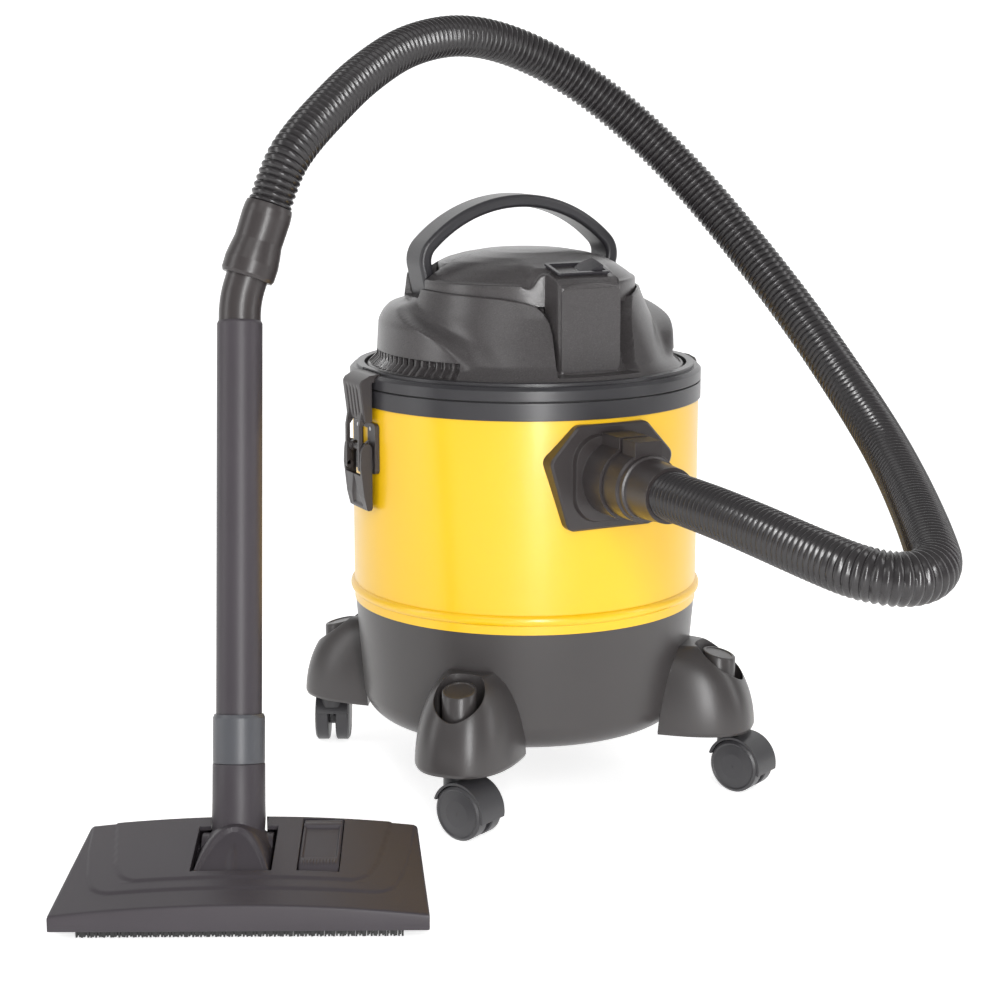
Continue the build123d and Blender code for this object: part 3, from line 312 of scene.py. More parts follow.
LOOKS = {
    "drum_paint": PAINT, "base_plastic": CHAR, "head_plastic": HEAD, "black_plastic": BLACK, "hose_plastic": HOSE,
    "wand_plastic": WAND, "wheel_plastic": WHEEL, "pin_steel": STEEL, "seal_rubber": RUBBER, "filter_paper": PAPER,
    "ball_plastic": BALL, "motor_metal": IRON, "bristle_nylon": NYLON, "switch_plastic": SWITCH,
}
NODE_LOOKS = {"handle": HANDLE, "neck_sleeve": SLEEVE, "tank_rim": HANDLE, "head_base": HANDLE,
              "hose_wand_cuff": BLACK, "wand_elbow": BLACK}
for subpart in frame["record"]["subparts"]:
    node = NODES[subpart["node"]]
    look = NODE_LOOKS.get(subpart["node"], LOOKS[subpart["material_slot"]])
    node.data.materials.clear()
    node.data.materials.append(look)

# ---------------------------------------------------------------- hose

HOSE_ROUTE = [
    (0, -268, 318), (0, -322, 318), (7, -390, 312), (18, -456, 303), (28, -505, 297), (57, -524.5, 293),
    (91, -514, 296), (117, -470, 306), (150, -411, 317), (184, -344, 332), (210, -277, 355), (219, -207, 397),
    (211.5, -141, 453), (190, -80, 514), (157, -27, 577), (106, 16, 638), (41, 40, 684), (-36, 38, 707),
    (-112, 10, 698), (-176, -25, 669), (-222, -52, 638), (-253, -68, 614), (-272.8, -76.1, 591.5),
    (-284.6, -77.4, 560.7),
]
HOSE_R = 0.019
HOSE_SHARE, HOSE_TAPER = 1.13, 0.14    # a little wider than that at the drum, and a little narrower at the wand
RIB_PITCH = 0.0058
RIB_DEPTH = 0.0021
RIB_POWER = 0.6                        # below 1, so the crests are broader than the grooves
RING_STEPS = 8
AROUND = 40


def nurbs_line(points, resolution):
    """Points along the smooth curve that has the route's points as its control points."""
    curve = bpy.data.curves.new("route", "CURVE")
    curve.dimensions = "3D"
    spline = curve.splines.new("NURBS")
    spline.points.add(len(points) - 1)
    for point, place in zip(spline.points, points):
        point.co = (*place, 1)
    spline.order_u = 3
    spline.use_endpoint_u = True
    spline.resolution_u = resolution
    holder = bpy.data.objects.new("route", curve)
    mesh = bpy.data.meshes.new_from_object(holder)
    line = [v.co.copy() for v in mesh.vertices]
    bpy.data.objects.remove(holder)
    bpy.data.meshes.remove(mesh)
    bpy.data.curves.remove(curve)
    return line


def resample(line, step):
    """Evenly spaced points along a line."""
    lengths = [0.0]
    for before, after in zip(line, line[1:]):
        lengths.append(lengths[-1] + (after - before).length)
    count = round(lengths[-1] / step)
    result = []
    index = 0
    for i in range(count + 1):
        want = lengths[-1] * i / count
        while index < len(lengths) - 2 and lengths[index + 1] < want:
            index += 1
        part = (want - lengths[index]) / (lengths[index + 1] - lengths[index])
        result.append(line[index].lerp(line[index + 1], part))
    return result, lengths[-1]


def frames_along(line):
    """A tangent and two side directions at each point, turning as little as possible."""
    tangents = []
    for i in range(len(line)):
        tangents.append((line[min(i + 1, len(line) - 1)] - line[max(i - 1, 0)]).normalized())
    side = tangents[0].orthogonal().normalized()
    result = []
    for tangent in tangents:
        side = (side - tangent * side.dot(tangent)).normalized()
        result.append((tangent, side, tangent.cross(side)))
    return result


def hose_radius(index, last):
    """Radius at a step along the hose: even ribs on a tube that narrows slightly toward the wand."""
    crest = (0.5 + 0.5 * math.cos(2 * math.pi * (index % RING_STEPS) / RING_STEPS)) ** RIB_POWER
    share = HOSE_SHARE - HOSE_TAPER * smoothstep(index / last, 0.1, 0.9)
    return HOSE_R * share - RIB_DEPTH * (1 - crest)


hose_line, hose_length = resample(nurbs_line([mm(*p) for p in HOSE_ROUTE], 24), RIB_PITCH / RING_STEPS)
hose_turns = [2 * math.pi * k / AROUND for k in range(AROUND)]
hose_steps = len(hose_line) - 1
hose_rings = []
for i, (place, (tangent, side, up)) in enumerate(zip(hose_line, frames_along(hose_line))):
    radius = hose_radius(i, hose_steps)
    hose_rings.append([place + (side * math.cos(turn) + up * math.sin(turn)) * radius for turn in hose_turns])
hose_shape = ([], [])
add_rings(hose_shape, hose_rings)
add_ends(hose_shape, 0, hose_steps * AROUND, AROUND, flip=True)
hose = close_seams(mesh_object("hose", *hose_shape), 60)
hose.data.materials.append(HOSE)
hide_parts("suction_hose")
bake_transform(hose)

# ---------------------------------------------------------------- floor, light and background

FLOOR_HALF = 9.0
FLOOR_FRONT, FLOOR_BEHIND = 7.0, 3.0   # flat from this far before the drum to this far behind it
SWEEP_R = 1.5
SWEEP_STEPS = 12
WALL_TOP = 6.0
right = Vector((math.cos(VIEW_TURN), math.sin(VIEW_TURN), 0))

floor_line = [(-FLOOR_FRONT, 0)]
for step in range(SWEEP_STEPS + 1):
    turn = math.radians(90 * step / SWEEP_STEPS)
    floor_line.append((FLOOR_BEHIND + SWEEP_R * math.sin(turn), SWEEP_R - SWEEP_R * math.cos(turn)))
floor_line.append((FLOOR_BEHIND + SWEEP_R, WALL_TOP))
floor_verts = [AXIS - back * behind + right * across + Vector((0, 0, height))
               for behind, height in floor_line for across in (-FLOOR_HALF, FLOOR_HALF)]
floor = mesh_object("floor", floor_verts, [(i, i + 1, i + 3, i + 2) for i in range(0, len(floor_verts) - 2, 2)])
floor_look = material("floor_white", (0.72, 0.72, 0.72), rough=0.7, grain=0.05, grain_scale=60, edge=0, mottle=0.004,
                      specular=0.2)
floor_shader = floor_look.node_tree.nodes["Principled BSDF"]
floor_shader.inputs["Emission Color"].default_value = (1, 1, 1, 1)
floor_shader.inputs["Emission Strength"].default_value = 0.85
floor.data.materials.append(floor_look)

world = bpy.data.worlds.new("studio")
bpy.context.scene.world = world
world.use_nodes = True
world.node_tree.nodes["Background"].inputs["Color"].default_value = (1, 1, 1, 1)
world.node_tree.nodes["Background"].inputs["Strength"].default_value = 0.5


def soft_light(name, place, target, size, power, size_y=None):
    """A rectangular softbox aimed at a point."""
    data = bpy.data.lights.new(name, "AREA")
    data.shape = "RECTANGLE"
    data.size = size
    data.size_y = size_y or size
    data.energy = power
    obj = bpy.data.objects.new(name, data)
    bpy.context.scene.collection.objects.link(obj)
    obj.location = place
    obj.rotation_euler = (Vector(target) - Vector(place)).to_track_quat("-Z", "Y").to_euler()
    return obj


centre = AXIS + Vector((0, 0, 0.35))
soft_light("front_strip", centre + back * 2.25 + right * 0.35 + Vector((0, 0, 0.35)), centre, 0.22, 56, 2.0)
soft_light("key", centre + back * 1.5 - right * 0.7 + Vector((0, 0, 1.5)), centre, 0.9, 5)
soft_light("left_strip", centre - right * 1.7 + back * 0.6 + Vector((0, 0, 0.6)), centre, 0.4, 9, 1.6)
soft_light("right_strip", centre + right * 1.7 + back * 0.4 + Vector((0, 0, 0.6)), centre, 0.4, 9, 1.6)

bpy.context.scene.view_settings.view_transform = "Standard"
bpy.context.scene.view_settings.look = "None"
bpy.context.scene.view_settings.exposure = -0.3

# ---------------------------------------------------------------- head skin

# Distances from the axis, at heights.
DOME = [(396.3, 152), (400, 151), (404, 147.2), (412, 138.5), (426, 130.5), (440, 122.5), (454, 115.2), (466, 110),
        (472, 107.8), (478, 105.8), (490, 104.5)]
SHOULDER = [(396.3, 152), (400, 151), (412, 138.5), (426, 130.5), (440, 123.0), (452, 117.5), (462, 115.0),
            (485, 112)]
BULGE = [(396.3, 143), (410, 141.4), (443, 139.4), (452, 134.5), (459, 127), (461.5, 112), (490, 80)]
LEDGE_Z = 405.0                        # the front panel's recess starts here
RECESS_DEPTH = 15.0
HANDLE_POCKET = (92.0, 116.0)          # degrees from the front
HANDLE_POCKET_DEPTH = 22.0
CREASE_DEPTH = 1.6
VENT_BAND = (402.0, 415.5)
VENT_TURNS = (52.0, 116.0)
VENT_PITCH, VENT_OPEN = 3.6, 2.4       # degrees from bar to bar, and of the opening between them
BAR_DEPTH, VENT_DEPTH = 1.2, 6.5
# The recess's sides in degrees at heights, the skin's top edge at degrees, and where the bulge starts at heights.
LEFT_EDGE = [(404, -15.8), (418, -15.8), (440, -15.6), (452, -16.5), (461, -19.5), (466, -24), (474, -30)]
RIGHT_EDGE = [(404, 17.5), (418, 19.6), (440, 25), (452, 29), (461, 33), (474, 41)]
TOP_EDGE = [(-180, 485), (-118, 485), (-104, 479), (-98, 473.5), (-60, 472.5), (-40, 470.5), (-28, 467.5),
            (-18, 461), (0, 458), (25, 461), (38, 468), (50, 472), (60, 472.5), (98, 473.5), (104, 479),
            (118, 485), (180, 485)]
BULGE_EDGE = [(396, 46), (408, 47), (418, 50), (428, 54), (436, 60), (443, 69), (450, 80), (458, 92), (470, 100)]


def skin_radius(turn, z):
    """Distance of the outer skin from the axis, at an angle from the front (right is positive) and a height."""
    side = abs(turn)
    behind = smoothstep(side, 99, 110)
    radius = smooth_along(DOME, z, 2) * (1 - behind) + smooth_along(SHOULDER, z, 1.2) * behind
    edge = smooth_along(BULGE_EDGE, z, 5)
    swell = smoothstep(side, edge - 3.5, edge + 4.5) * (1 - smoothstep(side, 129, 134))
    out = smooth_along(BULGE, z, 2.5) - radius
    if out > 0:
        radius += out * swell
    crease = math.exp(-((side - edge + 7) / 6) ** 2) * smoothstep(z, 404, 414) * (1 - smoothstep(z, 452, 464))
    radius -= CREASE_DEPTH * crease
    if VENT_BAND[0] < z < VENT_BAND[1] and VENT_TURNS[0] < side < VENT_TURNS[1]:
        from_bar = (side - VENT_TURNS[0]) % VENT_PITCH
        radius -= BAR_DEPTH if from_bar > VENT_OPEN else VENT_DEPTH
    if z > LEDGE_Z:
        left_edge = smooth_along(LEFT_EDGE, z, 3)
        right_edge = smooth_along(RIGHT_EDGE, z, 3)
        inside = smoothstep(turn, left_edge - 0.2, left_edge + 0.5)
        inside *= 1 - smoothstep(turn, right_edge - 0.5, right_edge + 0.2)
        radius -= inside * RECESS_DEPTH
    if z > 466 and HANDLE_POCKET[0] < side < HANDLE_POCKET[1]:
        radius -= HANDLE_POCKET_DEPTH
    return radius


def polar(turn, radius, z):
    """A point at an angle from the front, a distance from the axis and a height."""
    angle = math.radians(turn)
    return mm(radius * math.sin(angle), -radius * math.cos(angle), z)


UPPER_START = 457.9                    # above this the rows spread up to the skin's own top edge
UPPER_ROWS = 14
LIP = ((0.5, -0.5), (1.4, -0.7), (2.4, -0.4), (3.0, 0.6), (3.2, 4.0))     # inward and down from that edge
turns = [t / 2 for t in range(-360, 360)]
heights = spans((396.3, 401.8, 1.1), (401.8, 402.2, 0.4), (402.2, 404.8, 1.3), (404.8, 405.2, 0.4),
                (405.2, 415.3, 1.4), (415.3, 415.7, 0.4), (415.7, 458, 1.6))[:-1]
tops = [max(smooth_along(TOP_EDGE, t, 2), UPPER_START + 0.5) for t in turns]
rings = [[polar(t, radius, z) for t in turns] for radius, z in ((140, 400), (146, 396.3))]
rings += [[polar(t, skin_radius(t, z), z) for t in turns] for z in heights]
for row in range(UPPER_ROWS + 1):
    row_heights = [UPPER_START + (top - UPPER_START) * row / UPPER_ROWS for top in tops]
    rings.append([polar(t, skin_radius(t, z), z) for t, z in zip(turns, row_heights)])
for inward, drop in LIP:
    rings.append([polar(t, skin_radius(t, top) - inward, top - drop) for t, top in zip(turns, tops)])
rings.append([polar(t, 80, 455) for t in turns])
skin_shape = ([], [])
add_rings(skin_shape, rings)
skin = close_seams(mesh_object("head_skin", *skin_shape), 38)
finish_piece(skin, "tank", "head_plastic", HEAD, "head_cover")

# ---------------------------------------------------------------- head top and nose

NOSE_HALF = 31.5
NOSE_FRONT = 127.6
CAP_R = 103.6
CAP_LINE = [(0, 509.3), (20, 508.9), (40, 507.3), (60, 503.8), (75, 499.6), (85, 494.6), (95, 488), (105, 480)]
BALL_R = 417.0                         # the nose's top follows a large ball
BALL_Z = 509.5 - BALL_R
CORNER_R = 5.0
CAP_ROUND = 3.0
CAP_RINGS = 46
DENT_AT, DENT_HALF, DENT_DEPTH = (-42, -96), (17, 9), 3.5


def edge_radius(turn):
    """Distance from the axis to the outline of the head's top, with the nose at the front."""
    if HANDLE_POCKET[0] < abs(turn) < HANDLE_POCKET[1]:
        return 83.0
    angle = math.radians(turn)
    s, c = abs(math.sin(angle)), math.cos(angle)
    radius = CAP_R
    if c > 0:
        corner = Vector((NOSE_HALF - CORNER_R, NOSE_FRONT - CORNER_R))
        reach = min(NOSE_HALF / s if s > 1e-6 else 1e9, NOSE_FRONT / c)
        hit = Vector((reach * s, reach * c))
        if hit.x > corner.x and hit.y > corner.y:
            along_ray = corner.x * s + corner.y * c
            off = corner.length_squared - along_ray ** 2
            reach = along_ray + math.sqrt(max(CORNER_R ** 2 - off, 0))
        if s * reach <= NOSE_HALF + 0.01:
            radius = max(radius, reach)
    return radius


def top_height(x, y):
    """Height of the head's top: a low dome, with a flatter nose that carries the switch."""
    r = math.hypot(x, y)
    dome_z = smooth_along(CAP_LINE, r, 2)
    ball_z = BALL_Z + math.sqrt(BALL_R ** 2 - r ** 2) - 1.2
    nose = smoothstep(-y, 30, 75) * (1 - smoothstep(abs(x), 33, 44 if x < 0 else 50))
    z = dome_z + (ball_z - dome_z) * nose
    z -= 4.5 * smoothstep(r, 122, 129) if y < 0 else 0
    dent = ((x - DENT_AT[0]) / DENT_HALF[0]) ** 2 + ((y - DENT_AT[1]) / DENT_HALF[1]) ** 2
    return z - DENT_DEPTH * max(0.0, 1 - dent) ** 0.5


def height_at(turn, radius):
    """Height of the head's top at an angle from the front and a distance from the axis."""
    angle = math.radians(turn)
    return top_height(radius * math.sin(angle), -radius * math.cos(angle))


cap_turns = spans((-180, -116.2, 1.4), (-116.2, -115.8, 0.4), (-115.8, -92.2, 1.3), (-92.2, -91.8, 0.4),
                  (-91.8, -19, 1.2), (-19, 19, 0.2), (19, 91.8, 1.2), (91.8, 92.2, 0.4), (92.2, 115.8, 1.3),
                  (115.8, 116.2, 0.4), (116.2, 180, 1.4))[:-1]
edges = [edge_radius(t) for t in cap_turns]
cap_rings = []
for i in range(1, CAP_RINGS + 1):
    reaches = [(edge - CAP_ROUND) * (i / CAP_RINGS) for edge in edges]
    cap_rings.append([polar(t, reach, height_at(t, reach)) for t, reach in zip(cap_turns, reaches)])
for part in (15, 30, 45, 60, 75, 90):
    out_by = CAP_ROUND * math.sin(math.radians(part))
    drop = CAP_ROUND * (1 - math.cos(math.radians(part)))
    cap_rings.append([polar(t, edge - CAP_ROUND + out_by, height_at(t, edge - CAP_ROUND) - drop)
                      for t, edge in zip(cap_turns, edges)])
for low, nose_low in ((474, 470), (470, 440), (464, 406)):
    cap_rings.append([polar(t, edge, nose_low if edge > CAP_R + 0.01 else low) for t, edge in zip(cap_turns, edges)])
cap_shape = ([], [])
add_rings(cap_shape, cap_rings)
centre_index = len(cap_shape[0])
cap_shape[0].append(mm(0, 0, top_height(0, 0)))
cap_shape[1].extend((k, (k + 1) % len(cap_turns), centre_index) for k in range(len(cap_turns)))
cap = close_seams(mesh_object("head_top", *cap_shape), 40)
finish_piece(cap, "tank", "head_plastic", HEAD, "head_cap")

# ---------------------------------------------------------------- nozzle cover

FOOT_AT = (-364.0, -182.0)
FOOT_TURN = math.radians(-26)
FRONT, REAR = -111.0, 25.0
HALF_FRONT, HALF_REAR, SHIFT = 151.2, 138.0, 11.0
SKIRT_Z = 8.0


def foot(x, y, z):
    """A point in the nozzle's own directions, in the row frame."""
    c, s = math.cos(FOOT_TURN), math.sin(FOOT_TURN)
    return mm(FOOT_AT[0] + x * c - y * s, FOOT_AT[1] + x * s + y * c, z)


def contour(x, v, table, level):
    """Height of one raised U-shaped step, whose side line is given by shares of the half width."""
    half = HALF_FRONT + (HALF_REAR - HALF_FRONT) * v
    a = (along(table, v) - abs(x - SHIFT) / half) * half
    b = (v - table[0][0]) * (REAR - FRONT)
    if a <= 0 or b <= 0:
        inside = min(a, b)
    else:
        corner = 14
        inside = min(a, b) if a > corner or b > corner else corner - math.hypot(corner - a, corner - b)
    return level * smoothstep(inside, -0.6, 0.9)


OUTER_U = [(0.19, 0.80), (0.42, 0.88), (0.7, 0.94), (1.0, 0.985)]
INNER_U = [(0.29, 0.66), (0.5, 0.74), (0.8, 0.80), (1.0, 0.84)]
ARCH_FRONT_Z, ARCH_RISE, ARCH_SAG = 29.4, 23.5, 8.8


def cover_top(x, y):
    """Height of the nozzle's arched top."""
    v = (y - FRONT) / (REAR - FRONT)
    z = ARCH_FRONT_Z + ARCH_RISE * v - ARCH_SAG * ((x - SHIFT) / 150) ** 2
    z += contour(x, v, OUTER_U, 1.0) + contour(x, v, INNER_U, 1.0)
    return z


# Openings, as (left, right, front, rear): the neck's well, the slot behind it, and the pedal's well.
POCKET_BOX = (-33.0, 33.0, -62.0, 8.0)
NOTCH_BOX = (-23.4, 23.4, 8.0, 25.0)
PEDAL_BOX = (53.2, 87.8, -61.4, 21.3)
NOTCH_Z = 16.0
CELL, NOTCH_CELL = 1.6, 1.56
EDGE_IN = 2.0                          # the grid stops short of the outline by this, for the rounded edge
OUT_STEPS = 20
# The rounded edge and the skirt: out by this, down by this from the top or at this height.
SKIRT = ((0.9, 0.35, None), (1.6, 1.0, None), (2.0, 2.0, None), (2.0, None, 14.0), (2.0, None, SKIRT_Z + 0.5),
         (1.6, None, SKIRT_Z), (-0.5, None, SKIRT_Z), (-0.5, None, 12.0))
WELL_DEPTH, SLOT_DEPTH = 0.012, 0.0035
xs = spans((-112, POCKET_BOX[0], CELL), (POCKET_BOX[0], NOTCH_BOX[0], CELL), (*NOTCH_BOX[:2], NOTCH_CELL),
           (NOTCH_BOX[1], POCKET_BOX[1], CELL), (POCKET_BOX[1], PEDAL_BOX[0], CELL), (*PEDAL_BOX[:2], CELL),
           (PEDAL_BOX[1], 134, CELL))
ys = spans((FRONT + EDGE_IN, POCKET_BOX[2], CELL), (POCKET_BOX[2], PEDAL_BOX[2], 0.6),
           (PEDAL_BOX[2], POCKET_BOX[3], CELL), (POCKET_BOX[3], PEDAL_BOX[3], CELL),
           (PEDAL_BOX[3], REAR - EDGE_IN, 1.0))


def row_xs(y):
    """Stations across the cover at one depth: fixed in the middle and stretched to the ends outside."""
    v = (y - FRONT) / (REAR - FRONT)
    half = HALF_FRONT + (HALF_REAR - HALF_FRONT) * v - EDGE_IN
    left_part = [SHIFT - half + (xs[0] - SHIFT + half) * i / OUT_STEPS for i in range(OUT_STEPS)]
    right_part = [xs[-1] + (SHIFT + half - xs[-1]) * (i + 1) / OUT_STEPS for i in range(OUT_STEPS)]
    return left_part + xs + right_part


def in_box(x, y, box):
    """Whether a place on the cover is in an opening."""
    return box[0] - 0.01 <= x <= box[1] + 0.01 and box[2] - 0.01 <= y <= box[3] + 0.01


cover_verts = []
cover_faces = []
grid = {}
stations = [row_xs(y) for y in ys]
wide = len(stations[0])
for j, y in enumerate(ys):
    for i, x in enumerate(stations[j]):
        grid[i, j] = len(cover_verts)
        cover_verts.append(foot(x, y, cover_top(x, y)))
for j in range(len(ys) - 1):
    for i in range(wide - 1):
        x = (stations[j][i] + stations[j][i + 1]) / 2
        y = (ys[j] + ys[j + 1]) / 2
        if in_box(x, y, POCKET_BOX) or in_box(x, y, PEDAL_BOX) or in_box(x, y, NOTCH_BOX):
            continue
        cover_faces.append((grid[i, j], grid[i + 1, j], grid[i + 1, j + 1], grid[i, j + 1]))
rim = grid_rim(wide, len(ys))


def outward(i, j):
    """Direction away from the middle at a point of the cover's rim."""
    dx = -1 if i == 0 else (1 if i == wide - 1 else 0)
    dy = -1 if j == 0 else (1 if j == len(ys) - 1 else 0)
    if dx and dy:
        return dx * 0.8, dy * 0.8
    return dx, dy


def in_notch(i, j):
    """Whether a point of the cover's rim is at the slot behind the neck."""
    return j == len(ys) - 1 and abs(stations[j][i]) < NOTCH_BOX[1] - 0.1


previous = [grid[k] for k in rim]
for step, (out_by, drop, low) in enumerate(SKIRT):
    ring = []
    for i, j in rim:
        x, y = stations[j][i], ys[j]
        dx, dy = outward(i, j)
        z = cover_top(x, y) - drop if low is None else low
        if in_notch(i, j):
            z = min(z, NOTCH_Z)
        ring.append(len(cover_verts))
        cover_verts.append(foot(x + dx * out_by, y + dy * out_by, z))
    for k in range(len(rim)):
        n = (k + 1) % len(rim)
        if step == 0 and in_notch(*rim[k]) and in_notch(*rim[n]):
            continue
        cover_faces.append((previous[k], previous[n], ring[n], ring[k]))
    previous = ring
cover = mesh_object("nozzle_shell", cover_verts, cover_faces)
bm = bmesh.new()
bm.from_mesh(cover.data)
holes = [e for e in bm.edges if e.is_boundary and min(v.co.z for v in e.verts) > 0.02]
made = bmesh.ops.extrude_edge_only(bm, edges=holes)
turn_c, turn_s = math.cos(FOOT_TURN), math.sin(FOOT_TURN)
for v in [g for g in made["geom"] if isinstance(g, bmesh.types.BMVert)]:
    beside = (v.co - mm(FOOT_AT[0], FOOT_AT[1], 0)) * 1000
    across, behind = beside.x * turn_c + beside.y * turn_s, beside.y * turn_c - beside.x * turn_s
    v.co.z -= SLOT_DEPTH if behind > 6 and abs(across) < 34 else WELL_DEPTH
bm.to_mesh(cover.data)
bm.free()
for polygon in cover.data.polygons:
    polygon.use_smooth = True
close_seams(cover, 40)
finish_piece(cover, "tank", "wand_plastic", WAND, "nozzle_cover")

# ---------------------------------------------------------------- neck and pedal

LEAN = math.radians(14)                # the wand's lean in the pictured pose
NECK_Z = 30.0                          # height of the neck's pivot
# Up the socket's outside, over its rim and down its bore, as (along the axis, radius).
SOCKET_LINE = ((12, 20), (12, 21.5), (30, 22.4), (45, 22.1), (75, 22), (75.8, 21.6), (76, 21), (76, 19.8), (50, 19.7))


def neck_point(x, u, w):
    """A point beside the wand's axis (x and u) and w along it from the neck's pivot."""
    return foot(x, u * math.cos(LEAN) + w * math.sin(LEAN), NECK_Z - u * math.sin(LEAN) + w * math.cos(LEAN))


def saddle_top(x, y):
    """Height of the neck's foot: flanks that rise to the tube, and a sunk ramp under an arched lip."""
    ridge_z = 38 + 24 * min(1.0, (y + 60) / 38) - 12 * smoothstep(y, 0, 18)
    lip = 29.5 * math.sqrt(max(0.0, (-22 - y) / 38))
    side = abs(x)
    if side >= lip:
        s = (side - lip) / max(30 - lip, 0.5)
        return 39 + (ridge_z - 39) * (1 - s * s)
    fold = 2.6 * math.exp(-(x / 3.2) ** 2) * (1 - smoothstep(y, -46, -30))
    return ridge_z - 3.6 * smoothstep(lip - side, 0, 1.6) + fold


neck = ([], [])
grid_block(neck, foot, spans((-30, 30, 0.75)), spans((-60, 16, 0.95)), saddle_top, lambda x, y: 24.0)
add_rings(neck, [[neck_point(x, u, w) for x, u in disc(0, 0, radius, 64)] for w, radius in SOCKET_LINE])
prism(neck, lambda a, x, b: foot(x, a, NECK_Z + b), disc(0, 0, 17.8, 40), -29.5, 29.5)
neck_piece = close_seams(mesh_object("neck_saddle", *neck), 34)
finish_piece(neck_piece, "wand", "wand_plastic", WAND, "nozzle_neck")

PEDAL_X, PEDAL_V = 70.5, 92.3          # the pedal's middle, and its pivot along the cover's slope
PEDAL_Z = 31.0
RISE = math.atan2(ARCH_RISE, REAR - FRONT)


def pedal_point(x, v, w):
    """A point on the pedal: across the nozzle, along its top from the front edge, and above that top."""
    return foot(x, FRONT + v * math.cos(RISE) - w * math.sin(RISE), PEDAL_Z + v * math.sin(RISE) + w * math.cos(RISE))


def pedal_top(x, v):
    """Height of the pedal: a sloping toe with fine ribs, a shallow dish and a raised bar."""
    side = abs(x - PEDAL_X)
    w = 0.2 - 3.2 * (1 - smoothstep(v, 52, 62))
    if 58 < v < 66:
        w += 0.5 * max(0.0, math.sin(2 * math.pi * x / 2.6)) * smoothstep(15 - side, 0, 1.5)
    w -= 1.3 * smoothstep(14.2 - side, 0, 1.0) * smoothstep(v, 69, 70.5) * (1 - smoothstep(v, 118, 119.5))
    w += 0.9 * smoothstep(v, 119.5, 120.5) * (1 - smoothstep(v, 124, 126))
    w -= 1.2 * smoothstep(side, 15.3, 16.5)
    return w - 1.5 * smoothstep(v, 128, 132.3)


pedal = ([], [])
grid_block(pedal, pedal_point, spans((54, 87, 0.4)), spans((52.3, 132.3, 0.8)), pedal_top, lambda x, v: -4.0)
for radius, low, high in ((2.5, 49.7, 91.3), (4, 54.2, 86.8)):
    prism(pedal, lambda a, x, b: pedal_point(x, a, b), disc(PEDAL_V, -6, radius), low, high)
pedal_piece = close_seams(mesh_object("foot_pedal", *pedal), 30)
finish_piece(pedal_piece, "pedal", "wand_plastic", WAND, "nozzle_pedal")

# ---------------------------------------------------------------- latches

# Outlines as (distance from the axis, height).
PIVOT_AT = (173.5, 332.0)
LINK_AT = (176.5, 314.0)
HOOK_LINE = ([(168.2, 357), (174.6, 357), (175.6, 357.6)]
             + [(176.1 + 3.9 * k / 12, 359 + 32 * k / 12) for k in range(13)]
             + [(179.8, 393), (178, 396), (170, 400), (160, 401), (159, 400.4), (159, 393.9), (168.2, 393.7)])
CHEEK_LINE = [(168.4, 333), (168.8, 300), (168.7, 277), (169.6, 275), (173, 274.6), (174, 275.6), (177, 288),
              (180, 316), (179.4, 328), (178.6, 333.5), (177, 335.9), (175, 337.1), (173, 337.3), (171, 336.7),
              (169.4, 335.3)]
ARM_LINE = [(176.4, 314), (180, 314), (179.6, 352), (177, 366), (172, 366), (172, 358), (176.4, 352)]
PAD_FRONT = [(274.5, 173.5), (288, 177), (307.5, 179)]
PAD_BACK = [(274.5, 168.9), (288, 172.6), (307.5, 175)]
LATCH_HALF = 20.5
GROOVES = (-11.5, -3.8, 3.8, 11.5)     # across the hook's grip


def hook_cut(k, y, z):
    """How far a point of the hook's outline is set back: four grooves down its front, and rounded ends."""
    cut = 0.0
    if 3 <= k <= 15:
        reach = smoothstep(z, 361, 364) * (1 - smoothstep(z, 385, 390))
        for groove in GROOVES:
            cut += 1.9 * reach * max(0.0, 1 - ((y - groove) / 1.7) ** 2)
    if 3 <= k <= 17:
        cut += 0.8 * smoothstep(abs(y), 19.4, LATCH_HALF)
    return cut


def hook_shape(place):
    """The hook: a grooved grip that claws over the flange, and two arms down to its pins."""
    hook = ([], [])
    depths = spans((-LATCH_HALF, LATCH_HALF, 0.5))
    count = len(HOOK_LINE)
    add_rings(hook, [[place(r - hook_cut(k, y, z), y, z) for k, (r, z) in enumerate(HOOK_LINE)] for y in depths])
    add_ends(hook, 0, (len(depths) - 1) * count, count)
    for side in (1, -1):
        prism(hook, place, ARM_LINE, side * 12.5, side * 16.3)
        prism(hook, place, disc(*LINK_AT, 3.6), side * 12.5, side * 16.3)
        prism(hook, place, disc(*LINK_AT, 2.5), side * 15.5, side * 20.3)
    return hook


def pad_front(y, z):
    """The lever's pad: a shallow scoop that narrows upward."""
    half = 1.5 + 11.5 * (304 - z) / 29.5
    return along(PAD_FRONT, z) - 2.0 * smoothstep(half - abs(y), -0.8, 1.2) * smoothstep(z, 277, 280)


def lever_shape(place):
    """The lever: two cheeks with pins, and the pad between them that a hand pulls."""
    lever = ([], [])
    for side in (1, -1):
        prism(lever, place, CHEEK_LINE, side * 17, side * LATCH_HALF)
        prism(lever, place, disc(*PIVOT_AT, 2.5), side * 8.5, side * 17.5)
    grid_block(lever, lambda y, z, r: place(r, y, z), spans((-17.2, 17.2, 0.6)), spans((274.7, 307.5, 0.8)),
               pad_front, lambda y, z: along(PAD_BACK, z))
    return lever


for name, sign in (("right", 1), ("left", -1)):
    def latch_place(r, y, z, sign=sign):
        """A point of this side's latch: out from the axis, along the drum and up."""
        return mm(sign * r, sign * y, z)

    for part, shape in (("hook", hook_shape), ("lever", lever_shape)):
        piece = close_seams(mesh_object(f"{part}_{name}", *shape(latch_place)), 40)
        finish_piece(piece, f"latch_{name}_{part}", "black_plastic", BLACK, f"latch_{name}_{part}")

# ---------------------------------------------------------------- brush

BRISTLE_ROWS = (-102.9, -99.2)
TUFTS = 116
BRUSH_LENGTH = 257.6

